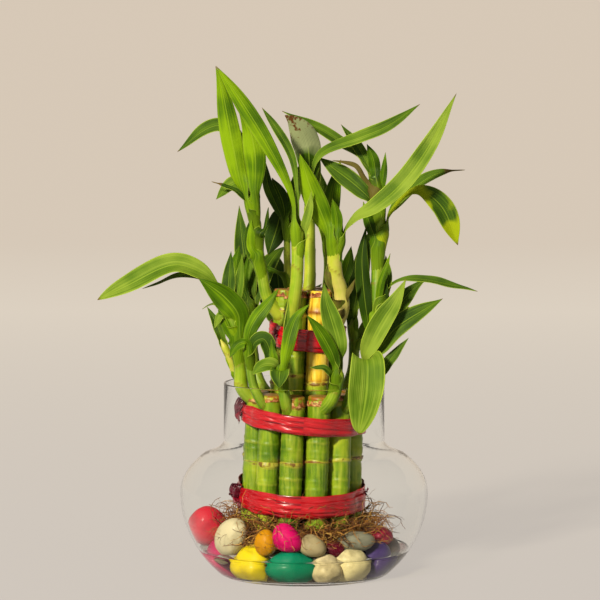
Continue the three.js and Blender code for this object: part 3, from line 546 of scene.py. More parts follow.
# Cane skin: a satin waxy rind, green with thin paler lines at the scars, a few of them scorched
# brown, fibres 1.4 mm wide up its length and orange-brown scraps where old leaves were pulled away.
rind, tree = blank_material("bamboo_cane_rind")
place = add(tree, "TexCoord")
scar, dry, cut, rise, scrap, age = [add(tree, "Attribute", attribute_name=name) for name in CANE_LAYERS]
stretched = add(tree, "Mapping", {"Vector": place, "Scale": (1.0, 1.0, 0.1)})
fibre = add(tree, "TexNoise", {"Vector": stretched, "Scale": cells(1.43), "Detail": 3.0})
patch = add(tree, "TexNoise", {"Vector": place, "Scale": cells(14.3), "Detail": 4.0})
speckle = add(tree, "TexNoise", {"Vector": place, "Scale": cells(2), "Detail": 3.0})
aged = add(tree, "MapRange", {0: age, 3: -0.08, 4: 0.06})
shade = add(tree, "Math", {0: patch, 1: aged}, operation="ADD")
green = add(tree, "ValToRGB", {0: shade}, [(0.3, "3A5E08"), (0.5, "6C880C"), (0.68, "98A420")])
ringed = add(tree, "Math", {0: scar, 1: speckle}, operation="MULTIPLY")
scorched = add(tree, "MapRange", {0: patch, 1: 0.35, 2: 0.65, 3: -0.12, 4: 0.16})
burnt = add(tree, "Math", {0: ringed, 1: scorched}, operation="ADD")
topped = add(tree, "Math", {0: rise, 1: speckle}, operation="MULTIPLY")
fresh = coated(tree, green, (fibre, 0.45, 0.7, 0.5, "A4AC36"), (fibre, 0.42, 0.28, 0.45, "2C4C0A"),
               (scar, 0.3, 0.9, 0.75, "B8AC3C"), (burnt, 0.38, 0.5, 0.85, "5A2C0E"),
               (topped, 0.34, 0.5, 0.9, "8A4818"))
straw = add(tree, "ValToRGB", {0: fibre}, [(0.3, "A87818"), (0.46, "D0AE26"), (0.7, "DCC454")])
cracked = coated(tree, straw, (fibre, 0.33, 0.27, 0.9, "5E2C12"))
rusty = add(tree, "Math", {0: dry, 1: scar}, operation="MULTIPLY")
papery = add(tree, "ValToRGB", {0: speckle}, [(0.36, "5C2C10"), (0.5, "96562A"), (0.62, "BE9260")])
rind_colour = coated(tree, fresh, (dry, 0, 1, 1, cracked), (rusty, 0, 1, 1, "6C2410"),
                     (cut, 0, 1, 1, "86602E"), (scrap, 0, 1, 1, papery))
relief = add(tree, "Math", {0: fibre, 1: speckle}, operation="ADD")
bump = add(tree, "Bump", {"Height": relief, "Strength": 0.35, "Distance": 0.0004})
skin = add(tree, "BsdfPrincipled", {"Base Color": rind_colour, "Roughness": 0.4, "IOR": 1.4,
                                    "Specular IOR Level": 0.4, "Normal": bump})
add(tree, "OutputMaterial", {"Surface": skin})

for i in range(OUTER_COUNT):
    node = f"outer_cane_{i + 1}"
    shape = cane_shape(OUTER_FIRST + 360 / OUTER_COUNT * i, OUTER_SPREAD_FOOT, OUTER_SPREAD_TOP,
                       OUTER_RADIUS, OUTER_TOP, OUTER_SCARS, False, i)
    finished(f"stalk_of_{node}", shape, [rind], "green_plant", node)
shape = cane_shape(0, 0, 0, INNER_RADIUS, INNER_TOP, INNER_SCARS, False, 40)
finished("stalk_of_inner_cane_centre", shape, [rind], "green_plant", "inner_cane_centre")
for i in range(INNER_COUNT):
    node = f"inner_cane_{i + 1}"
    shape = cane_shape(INNER_FIRST + 360 / INNER_COUNT * i, INNER_SPREAD, INNER_SPREAD, INNER_RADIUS,
                       INNER_TOP, INNER_SCARS, i == 0, 50 + i)
    finished(f"stalk_of_{node}", shape, [rind], "dry_cane" if i == 0 else "green_plant", node)


# Shoots: each grew from the side of its cane as a stem of leaf sheaths, one inside the next. A leaf
# leaves its stem as a clasping sheath, opens into a lance folded along its midrib and ends in a point.
# Facing 0 turns its upper side up and 90 to the front. Belly says where along it the blade is widest.
# Tone shifts a whole leaf's green darker or lighter. It is partly each leaf's own age and partly painted
# light and shade: darker for leaves that lie in shade at the back and lighter for some lit ones in front.
def leaf(at, width, facing, belly, course, **look):
    """A leaf that shows from the front: its midrib goes through the points of its course."""
    return at, width, facing, belly, course, look


def arched(at, width, facing, heading, rise, end, length):
    """A leaf at the back: it leaves along a heading and bends from its rise to its end angle."""
    return at, width, facing, 0.4, (heading, rise, end, length), {}


# A row is the stem's radius, how pale it is from 0 to 1, the points of its middle and its leaves.
SHOOTS = {
    "inner_cane_5": (2.8, 0.3, [(-11, -1, 127), (-18, -4, 137), (-20.3, -5, 147), (-22.4, -6, 160),
        (-24.4, -7, 180), (-25.5, -7, 188)], [
        leaf(0.88, 10.4, 80, 0.5, [(-29.8, -9, 190), (-34.6, -9, 211), (-40, -9, 239), (-43, -9, 250)],
            tone=0.3, broad=1),
        leaf(0.9, 10.8, 80, 0.55, [(-24, -10, 190), (-23.7, -11, 205), (-26.4, -11, 219),
            (-31.7, -11, 228)], tone=0.2, broad=1),
        leaf(0.95, 8, 55, 0.6, [(-31, -4, 209), (-35, -3, 218), (-41, -2, 221), (-48, -2, 219),
            (-62, -2, 208)], tone=-0.2),
        leaf(0.92, 8, 55, 0.5, [(-31, -5, 193), (-37, -5, 191), (-43, -5, 185)], yellow=0.7),
        leaf(0.86, 3.5, 40, 0.5, [(-30.7, -10, 187.5), (-38.6, -12, 192), (-45, -12, 194)], tone=-0.4,
            tip=0.2),
        leaf(0.7, 2.2, 70, 0.5, [(-19.5, -9, 170), (-17.3, -9, 181.5)], tone=-0.5),
        leaf(0.5, 4.5, 60, 0.4, [(-25.5, -9, 161), (-25.8, -10, 168), (-25.6, -10, 176)], tone=0.2,
            broad=1),
    ]),
    "inner_cane_6": (3, 0.5, [(-6.5, -11, 123), (-5, -18.5, 135), (-3.4, -21, 150), (-3.2, -21, 174)], [
        leaf(0.9, 8.2, 75, 0.66, [(-6.8, -23, 190), (-17.6, -23, 212.5), (-32, -22, 235.5),
            (-42.5, -21, 250)], tone=0.1, broad=1),
        leaf(0.95, 4.5, 70, 0.72, [(-3.5, -20, 190), (-5.9, -19, 206), (-14.2, -18, 221),
            (-20.5, -17, 230)], tone=-0.1),
        leaf(0.8, 4.5, 70, 0.5, [(0, -21, 172), (2.5, -21, 181), (3.5, -20, 190)], tone=0.3, broad=1),
    ]),
    "inner_cane_centre": (2.7, 0.6, [(2, 0, 134), (2.8, 0, 146), (2.8, 1, 165), (2.6, 1, 190)], [
        leaf(0.94, 14, 65, 0.62, [(2.5, 0, 203), (1.5, -1, 212), (-1.5, -3, 219), (-6, -4.5, 224),
            (-9.5, -5, 226)], tone=-0.2, withered=1, blunt=0.7),
        leaf(0.92, 7, 60, 0.62, [(5, 0, 202), (9, -1, 208), (27.3, -3, 215), (39.5, -4, 220),
            (56.6, -4, 231.5)], tone=0, neck=0.2),
        arched(0.8, 7, 40, 150, 75, 60, 30),
    ]),
    "inner_cane_2": (3.6, 1.0, [(14, -3, 122), (18, -8, 131), (17.8, -9.5, 140), (15.4, -11.5, 148),
        (14.7, -13, 158), (16, -14, 168)], [
        leaf(0.9, 11, 80, 0.48, [(11.5, -16, 171), (7.8, -17, 180), (3.4, -17, 190), (-2.2, -17, 208)],
            tone=0.35, broad=1),
        leaf(0.94, 5.5, 75, 0.5, [(16, -17, 176), (13.7, -18, 186)], tone=0.1, broad=1),
        leaf(0.93, 9.8, 65, 0.5, [(22, -15, 175), (33, -17, 181), (47, -18, 193), (59.5, -19, 210),
            (73.5, -19, 237)], tone=0.3),
        arched(0.85, 8, 60, 170, 85, 78, 22),
        leaf(0.35, 4.2, 70, 0.4, [(12, -14, 146), (11.6, -14, 151), (12.3, -14, 156)], dry=0.6),
        leaf(0.2, 4, 50, 0.4, [(20, -12, 138), (23, -13, 143), (25, -13, 147)], dry=0.8),
    ]),
    # These leaves lie in shade at the back, and their low tones are painted shade.
    "inner_cane_4": (1.7, 0.6, [(-6, 12, 128), (-8, 18.5, 139), (-8.3, 20, 152), (-8.5, 20, 175)], [
        leaf(0.97, 11, 85, 0.5, [(-11, 22, 177), (-14, 23, 168), (-18, 23, 156)], tone=-0.6),
        leaf(0.95, 7.5, 80, 0.5, [(-11, 19, 184), (-16, 19, 195)], tone=-0.3),
        leaf(0.9, 5.5, 75, 0.55, [(-14, 17, 182), (-18, 16, 192), (-19, 15, 203)], tone=-0.3),
        leaf(0.45, 5.5, 75, 0.6, [(-16, 17, 149), (-24, 16, 154), (-27.3, 16, 165), (-26.4, 16, 175.5)],
            tone=-0.4),
        arched(0.9, 7, 65, 120, 78, 60, 40),
    ]),
    "inner_cane_3": (2.2, 0.3, [(8, 12, 128), (11, 18, 139), (12, 20, 152), (11, 21, 165)], [
        leaf(0.4, 6.5, 75, 0.5, [(18, 20, 143), (21.5, 20, 151), (23.5, 20, 161)], tone=-0.1),
        arched(0.95, 9, 60, 60, 84, 70, 42),
        arched(0.9, 9, 60, -160, 80, 62, 40),
    ]),
    "outer_cane_3": (3.1, 0.1, [(23, -5, 80), (30, -7, 89), (33, -7, 100), (35, -5, 122), (36, -2, 150),
        (37.1, 0, 172), (35.4, 2, 190), (34, 3, 200)], [
        leaf(0.93, 7.5, 40, 0.5, [(32, 5, 200), (28, 6, 206), (20, 7, 211), (10, 8, 217.5), (-11, 8, 228)],
            tone=-0.1),
        leaf(0.94, 5.6, 70, 0.5, [(31, 4, 202), (27.3, 5, 209), (18, 6, 221.5)], tone=-0.3),
        leaf(0.84, 9.5, 80, 0.5, [(29.3, 2, 188), (22.4, 4, 194), (15, 5, 199.5), (7, 6, 205.5)],
            tone=-0.4),
        leaf(0.9, 2.6, 70, 0.5, [(29.3, -1, 195.5), (25, -1, 201.5), (13.7, 0, 204)], dry=0.8),
        leaf(0.86, 3.6, 80, 0.5, [(38.6, 0, 195), (39.8, 0, 208)], tone=0),
        leaf(0.93, 6, 75, 0.5, [(34, 1, 204), (30.7, 1, 212)], tone=-0.3, broad=1),
        leaf(0.74, 11.5, 60, 0.7, [(43.4, -3, 180), (49.5, -4, 187), (56, -4, 189.3), (67, -4, 181.5),
            (75.2, -4, 162.5)], yellow=1, neck=0.42),
        leaf(0.76, 7, 40, 0.55, [(46, 1, 183), (52, 2, 189), (63.4, 3, 196.5), (70, 3, 198.5),
            (79, 3, 199.2)], tone=0, tip=0.2, neck=0.15),
        leaf(0.48, 6, 35, 0.55, [(44.5, -4, 144.5), (52, -4, 146.3), (71, -4, 143.3), (85, -4, 140)],
            tone=-0.2, neck=0.3),
        leaf(0.25, 7.5, 75, 0.55, [(30.3, -7, 131), (28.5, -6, 148), (28.3, -5, 158), (30.3, -4, 172)],
            tone=-0.4, broad=1),
        leaf(0.68, 5.5, 75, 0.5, [(31.7, -3, 174), (28.8, -3, 184)], tone=0, broad=1),
        leaf(0.4, 3.8, 75, 0.5, [(37.5, -8, 144), (40, -8, 152), (42, -8, 159)], tone=0.2),
        leaf(0.33, 4.2, 75, 0.5, [(39, -6, 136), (39.3, -5, 151)], tone=-0.3),
        arched(0.45, 8, 60, 120, 66, 98, 26),
    ]),
    "outer_cane_2": (2.8, 0.2, [(18, -16, 80), (22, -22, 88), (24, -23, 96), (28, -26, 107)], [
        leaf(0.9, 10.6, 75, 0.45, [(33.6, -28, 120), (38.3, -28, 128.5), (43.2, -28, 136),
            (49.2, -28, 148)], tone=0.3),
        leaf(0.95, 10.8, 60, 0.5, [(35.5, -24, 112.5), (43.7, -24, 123), (58, -24, 132.5), (67, -24, 138)],
            tone=-0.3, neck=0.15),
        leaf(0.8, 5.5, 60, 0.5, [(31, -24.5, 101), (37, -24, 102), (41, -24, 107.5), (50.5, -24, 119)],
            tone=-0.2),
        leaf(0.95, 17.5, 30, 0.45, [(29.5, -32, 110), (30.3, -36, 107), (30, -38.5, 96), (28.6, -38, 85),
            (26.2, -36.5, 73.5)], tone=0.15, blunt=0.5, broad=1),
    ]),
    "outer_cane_1": (2.9, 0.2, [(7, -23, 82), (12.5, -29, 88), (15.5, -30.5, 95), (17, -31, 106)], [
        leaf(0.8, 7, 80, 0.5, [(14, -34, 111), (10, -35, 119), (5.8, -36, 125.5), (1, -36.5, 131)],
            tone=-0.3),
        leaf(0.93, 10, 80, 0.45, [(16.3, -31, 116), (13.4, -30, 127), (10.5, -29, 137), (9.6, -28, 146)],
            tone=-0.2, broad=1),
        leaf(0.7, 3.2, 60, 0.5, [(10, -34, 105), (2.4, -35, 105.5)], tone=-0.3),
    ]),
    "outer_cane_12": (2.6, 0.2, [(-6, -23, 80), (-9, -29, 88), (-10, -30, 95), (-11, -31, 103)], [
        leaf(0.9, 8, 50, 0.5, [(-15, -34, 106), (-20, -35, 106), (-25, -35, 102)], tone=0.1),
        leaf(0.92, 3.8, 75, 0.5, [(-14.5, -32, 110), (-15.8, -31, 119)], tone=0),
        leaf(0.93, 6.8, 75, 0.5, [(-8.2, -34, 114.5), (-6.2, -33, 123), (-3.4, -32, 130), (2.8, -31, 136)],
            tone=0.1, broad=1),
        leaf(0.94, 3.4, 80, 0.5, [(-8.6, -29, 121.5), (-7.4, -28, 137)], tone=0),
        leaf(0.9, 9.5, 30, 0.5, [(-11.5, -36, 104), (-12, -39.5, 101), (-12, -41, 96)], tone=-0.3),
    ]),
    "outer_cane_11": (2.2, 0.1, [(-15, -17, 80), (-21.5, -21.5, 88.5), (-25, -22, 97), (-27, -23, 113)], [
        leaf(0.93, 6, 50, 0.5, [(-28, -26, 117), (-32, -26.5, 116), (-36, -27, 109.5)], tone=0),
        leaf(0.94, 7, 75, 0.5, [(-26.5, -25, 121), (-23, -25, 128.5), (-18.2, -24, 134.5),
            (-12, -23, 143)], tone=0),
        # This leaf hangs in shade, and its low tone is painted shade.
        leaf(0.9, 8, 50, 0.5, [(-23.5, -26, 117), (-19.5, -27, 118.5), (-16.5, -27.5, 112),
            (-18.5, -28, 104.5)], tone=-0.5),
    ]),
    "outer_cane_10": (3.2, 0.3, [(-22, -6, 84), (-30, -9, 92), (-31, -10, 104), (-32.5, -11, 118),
        (-34.6, -12, 125), (-39, -12, 133)], [
        leaf(0.93, 12.5, 50, 0.6, [(-43, -13, 144.5), (-51, -14, 150.3), (-63, -14, 153.6),
            (-87, -14, 143), (-100.6, -14, 136.5)], tone=0.2, neck=0.22, blunt=0.7),
        leaf(0.94, 4.5, 30, 0.5, [(-42, -9, 140), (-49, -8, 146), (-58, -8, 148.2), (-79, -8, 141.6)],
            dry=0.35, neck=0.1),
        leaf(0.65, 12.6, 70, 0.5, [(-32, -16, 129.5), (-38, -17, 137.5), (-44.4, -17.5, 142.7),
            (-51.5, -17.5, 147.5)], tone=-0.1, broad=1),
        leaf(0.6, 7, 70, 0.5, [(-37, -15, 125), (-42, -14, 136)], tone=-0.1, broad=1),
        leaf(0.8, 4.6, 50, 0.5, [(-40, -15, 129), (-43.6, -16, 122.8)], tone=0.3),
        arched(0.95, 7, 60, 160, 80, 76, 30),
        arched(0.85, 5.5, 60, 130, 76, 84, 34),
    ]),
    "outer_cane_9": (1.8, 0.9, [(-23, 5, 81), (-29, 6, 91), (-34, 4, 99), (-37, 2, 108), (-41, 1, 116)], [
        arched(0.9, 5, 50, -120, 70, 50, 22),
        leaf(0.5, 3.4, 60, 0.5, [(-36.5, 2, 105), (-38.5, 1, 112)], tone=0.4, broad=1),
    ]),
    "outer_cane_4": (2.4, 0.2, [(22, 7, 84), (29, 9, 91), (33, 9, 99), (36, 10, 113)], [
        arched(0.95, 11, 45, 110, 64, 30, 44),
        arched(0.9, 9, 60, 50, 80, 66, 32),
        arched(0.8, 10, 30, 150, 50, 0, 40),
    ]),
    "outer_cane_7": (2.4, 0.2, [(-6, 22, 85), (-8, 28.5, 92), (-10, 32, 99), (-11, 35, 118)], [
        arched(0.95, 11, 30, -170, 72, 20, 54),
        arched(0.9, 10, 50, -110, 70, 50, 40),
        arched(0.8, 10, 40, 130, 60, 30, 40),
    ]),
    "outer_cane_8": (2.6, 0.2, [(-16, 16, 85), (-21, 21, 91), (-24, 24, 98), (-26, 26, 116),
        (-26, 28, 133)], [
        leaf(0.93, 7.5, 70, 0.5, [(-31.5, 27, 140), (-34, 27, 149), (-32.2, 27, 161)], tone=0),
        leaf(0.95, 3.2, 70, 0.5, [(-29.5, 26, 140), (-29, 25, 148), (-27, 24, 158.5)], tone=-0.2),
        arched(0.95, 10, 60, -150, 70, 84, 52),
        arched(0.9, 10, 45, 150, 62, 10, 48),
        arched(0.7, 10, 30, -140, 40, -30, 44),
    ]),
    "outer_cane_5": (2.6, 0.2, [(16, 16, 85), (21, 21, 91), (24, 24, 98), (25, 27, 112), (24, 29, 124)], [
        arched(0.95, 10, 60, 150, 74, 60, 50),
        arched(0.9, 9, 50, -160, 68, 40, 44),
        arched(0.75, 9, 30, 125, 40, -20, 46),
    ]),
}
PATH_SAMPLES = 200
SHEATH_STEP = 17
SHEATH_SLANT = 4.5
SHEATH_LIP = 0.22
STEM_FULLNESS = 1.08
STEM_TAPER = 0.14
STEM_ROW = 0.9
STEM_SIDES = 14
STEM_TIP = 5
STEM_FOOT = 5
STEM_GIRTH = 17.6
SHEATH_LINE = 0.8
STEM_FLARE = 0.9
TORN_FOOT = 2.6


def smooth_path(points):
    """Evenly timed samples of the centripetal Catmull-Rom curve through the points."""
    points = [Vector(point) for point in points]
    ends = [2 * points[0] - points[1], *points, 2 * points[-1] - points[-2]]
    samples = []
    for sample in range(PATH_SAMPLES + 1):
        time = (len(points) - 1) * sample / PATH_SAMPLES
        first = min(int(time), len(points) - 2)
        a, b, c, d = ends[first:first + 4]
        before, here, after = [(q - p).length ** 0.5 for p, q in ((a, b), (b, c), (c, d))]
        leave = ((b - a) / before - (c - a) / (before + here) + (c - b) / here) * here
        arrive = ((c - b) / here - (d - b) / (here + after) + (d - c) / after) * here
        t = time - first
        samples.append(b + leave * t + (3 * (c - b) - 2 * leave - arrive) * t * t
                       + (2 * (b - c) + leave + arrive) * t ** 3)
    return samples


def path_length(path):
    return sum((q - p).length for p, q in zip(path, path[1:]))


def path_point(path, part):
    """The point at a part of a path's length, and the direction there."""
    left = part * path_length(path)
    for number, (here, after) in enumerate(zip(path, path[1:])):
        length = (after - here).length
        if left <= length or number == len(path) - 2:
            direction = (after - here).normalized()
            return here + direction * min(left, length), direction
        left -= length


def swept(shape, path, rows, sides, radius_at):
    """A closed round body along a path. Its radius is told by how far along it is and by the turn."""
    centres = [path_point(path, row / rows) for row in range(rows + 1)]
    axis = centres[0][1]
    side = axis.orthogonal().normalized()
    rings = []
    for centre, direction in centres:
        side = (axis.rotation_difference(direction) @ side).normalized()
        axis = direction
        rings.append((centre, side.copy(), direction.cross(side)))

    def place(a, b):
        centre, right, up = rings[round(a * rows)]
        angle = 2 * math.pi * b
        return centre + (right * math.cos(angle) + up * math.sin(angle)) * radius_at(a, angle)

    return bent_grid(shape, rows, sides, place, close=True)


# Stem skin: smooth sheaths, pale yellow low down and green above, with fine lines up their length
# and a thin brown line at each sheath's mouth.
sheath, tree = blank_material("leaf_sheath_stem")
pale, seam = [add(tree, "Attribute", attribute_name=name) for name in ("pale", "seam")]
spot = add(tree, "UVMap", uv_map="UVMap")
stretched = add(tree, "Mapping", {"Vector": spot, "Scale": (1.2, STEM_GIRTH / SHEATH_LINE, 1.0)})
lines = add(tree, "TexNoise", {"Vector": stretched, "Scale": 1.0, "Detail": 2.0})
patch = add(tree, "TexNoise", {"Vector": add(tree, "TexCoord"), "Scale": cells(11.1), "Detail": 3.0})
mottle = add(tree, "MapRange", {0: patch, 1: 0.3, 2: 0.7, 3: -0.25, 4: 0.3})
toned = add(tree, "Math", {0: pale, 1: mottle}, operation="ADD")
green = add(tree, "ValToRGB", {0: toned}, [(0.0, "486E08"), (0.35, "769210"), (0.7, "9CA628"),
                                           (1.0, "BCAE5C")])
seamed = coated(tree, green, (lines, 0.42, 0.66, 0.4, "9CA63C"), (seam, 0.3, 1.0, 0.75, "6E5218"))
bump = add(tree, "Bump", {"Height": lines, "Strength": 0.25, "Distance": 0.0004})
skin = add(tree, "BsdfPrincipled", {"Base Color": seamed, "Roughness": 0.42, "IOR": 1.4,
                                    "Specular IOR Level": 0.35, "Normal": bump})
add(tree, "OutputMaterial", {"Surface": skin})


def stem_radius(radius, part):
    return radius * (STEM_FULLNESS - STEM_TAPER * part)


stems = {}
for cane, (radius, paleness, points, _) in SHOOTS.items():
    path = smooth_path(points)
    stems[cane] = path
    length = path_length(path)

    def in_sheath(part, angle):
        """How far up its sheath a place on the stem is. The sheaths' mouths slant by turns."""
        height = part * length
        side = (1 if int(height / SHEATH_STEP) % 2 else -1) * math.cos(angle)
        return ((height + SHEATH_SLANT * (1 + side)) % SHEATH_STEP) / SHEATH_STEP

    def ridged_radius(part, angle):
        height = part * length
        tip = min(1.0, (length - height) / STEM_TIP + 0.15)
        foot = STEM_FLARE * math.exp(-height / STEM_FOOT)
        return (stem_radius(radius, part) + SHEATH_LIP * in_sheath(part, angle) ** 5 + foot) * tip

    shape = bmesh.new()
    layers = kept_values(shape, "pale", "seam")
    spots = swept(shape, path, round(length / STEM_ROW), STEM_SIDES, ridged_radius)
    for vert, (a, b) in spots.items():
        if vert.is_valid:
            vert[layers["pale"]] = max(0.0, paleness + 0.35 * (0.35 - a))
            torn = math.exp(-(a * length / TORN_FOOT) ** 2)
            vert[layers["seam"]] = max(in_sheath(a, 2 * math.pi * b) ** 9, torn)
    finished(f"stem_of_{cane}", shape, [sheath], "green_plant", cane)


# Leaf blades: 0.35 mm thick, waxy, with fine parallel veins, a thin pale edge and a dry point.
# The upper side is a satin mid green and the underside is duller and paler.
SHEATH_LENGTH = 11
SHEATH_ROWS = 6
BLADE_ROWS = 28
BLADE_COLUMNS = 8
EASING_ROWS = 5
EASING_TURNS = 8
OPENING = 13
NARROW_OPENING = 7.8
SHEATH_COVER = 0.95
SHEATH_RELEASE = 0.3
SHEATH_CLEARANCE = 0.25
SHEATH_LAYER = 0.1
SHEATH_SINK = 0.9
SHEATH_SUNK_ROWS = 5
BLADE_ROUNDNESS = 0.75
POINT_TAPER = 0.45
POINT_START = 0.6
BEND_DELAY = 1.6
ARCH_STEPS = 8
BLADE_FOLD = 0.3
BLADE_CURL = 0.02
BLADE_THICKNESS = 0.35
NECK_HALF = 1.3
WAVE_HEIGHT = 0.45
LEAF_WIDTH = 9
LEAF_VEIN = 0.45
LEAF_STREAK = 1
LEAF_SEED = 300
LEAF_LAYERS = ("tone", "yellow", "withered", "dry", "part", "thread")


def ease(value):
    value = max(0.0, min(1.0, value))
    return value * value * (3 - 2 * value)


def arch_points(base, heading, rise, end, length):
    """An arch bends slowly at first and faster towards its end."""
    forward = plan_point(heading, 1)
    points = []
    for step in range(ARCH_STEPS):
        angle = math.radians(rise + (end - rise) * ((step + 0.5) / ARCH_STEPS) ** BEND_DELAY)
        stride = (forward * math.cos(angle) + Vector((0, 0, math.sin(angle)))) * length / ARCH_STEPS
        base = base + stride
        points.append(base)
    return points


def leaf_rows(stem, at, course, facing):
    """Rows of a leaf from the foot of its sheath to its tip: middle, across, up and reach in mm.

    In the sheath the leaf's upper side faces the stem. On the blade it turns as facing says.
    """
    base, _ = path_point(stem, at)
    points = arch_points(base, *course) if isinstance(course, tuple) else course
    midrib = smooth_path([base, *points])
    length = path_length(midrib)
    down = min(SHEATH_LENGTH / path_length(stem), at)
    middles = [path_point(stem, at - down * (1 - row / SHEATH_ROWS))[0]
               for row in range(SHEATH_ROWS)]
    middles += [path_point(midrib, row / BLADE_ROWS)[0] for row in range(BLADE_ROWS + 1)]
    for _ in range(EASING_TURNS):
        near = range(max(1, SHEATH_ROWS - EASING_ROWS), SHEATH_ROWS + EASING_ROWS)
        for row in near:
            middles[row] = (middles[row - 1] + middles[row] * 2 + middles[row + 1]) / 4
    last = len(middles) - 1
    ways = [(middles[min(row + 1, last)] - middles[max(row - 1, 0)]).normalized()
            for row in range(last + 1)]
    out = path_point(midrib, 0.35)[0] - base
    out -= ways[0] * out.dot(ways[0])
    up = -out.normalized()
    face = Vector((0, -math.sin(math.radians(facing)), math.cos(math.radians(facing))))
    frames = []
    turn = None
    for row, way in enumerate(ways):
        if row:
            up = (ways[row - 1].rotation_difference(way) @ up).normalized()
        wanted = way.cross(face).cross(way)
        angle = math.atan2(up.cross(wanted).dot(way), up.dot(wanted))
        if turn is not None:
            angle = turn + (angle - turn + math.pi) % (2 * math.pi) - math.pi
        turn = angle
        frames.append((up.copy(), turn))
    third = SHEATH_ROWS + BLADE_ROWS // 3
    flip = math.pi * round(frames[third][1] / math.pi)
    rows = []
    for row, (middle, way, (up, turn)) in enumerate(zip(middles, ways, frames)):
        reach = (row - SHEATH_ROWS) / BLADE_ROWS
        turned = Quaternion(way, (turn - flip) * ease(reach / 0.3)) @ up
        rows.append((middle, way.cross(turned), turned, reach * length if reach > 0 else reach))
    return rows, length


def blade(shape, stem, radius, rank, row, draw, layers):
    """One leaf: a sheath round its stem that opens into a folded blade."""
    at, width, facing, belly, course, look = row
    rows, length = leaf_rows(stem, at, course, facing)
    outermost = stem_radius(radius, at) + SHEATH_CLEARANCE + SHEATH_LAYER * rank
    skew = math.log(0.5) / math.log(belly)
    neck = look.get("neck", 0)
    tip = look.get("tip", 0)
    roundness = BLADE_ROUNDNESS * look.get("blunt", 1)
    opening = min(OPENING if look.get("broad") else NARROW_OPENING, length * 0.45)
    waves = draw.uniform(1.5, 3.0)
    phase = draw.uniform(0, 6.28)
    # A leaf given no tone takes a random one. A given tone partly holds painted shade and light.
    tone = look.get("tone", draw.uniform(-0.4, 0.2)) + draw.uniform(-0.05, 0.05)
    count = len(rows) - 1

    def place(a, b):
        number = round(a * count)
        middle, across, up, reach = rows[number]
        part = max(0.0, (number - SHEATH_ROWS) / BLADE_ROWS)
        late = max(0.0, part - POINT_START) / (1 - POINT_START)
        free = ease(reach / opening) if reach > 0 else 0.0
        hold = outermost - SHEATH_SINK * (1 - ease(number / SHEATH_SUNK_ROWS))
        swell = max(0.0, math.sin(math.pi * part ** skew)) ** (roundness * (1 + POINT_TAPER * late))
        if neck:
            swell *= ease((part - neck * 0.5) / neck)
        if tip:
            swell *= 1 - 0.8 * ease((part - 1 + tip) / tip * 2)
        stalk = NECK_HALF * (1 - part) ** 0.5 * min(1.0, width / 6)
        cover = SHEATH_COVER - SHEATH_RELEASE * (ease(1 + reach) if number < SHEATH_ROWS else 1)
        wrapped = math.pi * hold * cover * (1 - free) ** 1.4
        sideways = 2 * b - 1
        outward = sideways * max(width / 2 * swell, stalk, wrapped)
        curl = (1 - free) / hold + BLADE_CURL
        right = math.sin(outward * curl) / curl
        lift = (1 - math.cos(outward * curl)) / curl - hold * (1 - free)
        lift += (math.sqrt(outward ** 2 + 0.3) - 0.55) * BLADE_FOLD * free
        wave = WAVE_HEIGHT * math.sin(2 * math.pi * waves * part + phase + (b > 0.5))
        lift += wave * sideways ** 2 * free * min(1.0, swell * 2)
        if look.get("withered"):
            lift += 0.7 * math.sin(9 * part + 4 * b + phase) * abs(sideways) * free
            right *= 1 - 0.35 * ease(late)
        return middle + across * right + up * lift

    for vert, (a, b) in bent_grid(shape, count, BLADE_COLUMNS, place).items():
        part = (round(a * count) - SHEATH_ROWS) / BLADE_ROWS
        values = {"tone": tone, "part": part, "thread": 1 - look.get("tip", 0.03),
                  **{name: look.get(name, 0) for name in ("yellow", "withered", "dry")}}
        for name, value in values.items():
            vert[layers[name]] = value


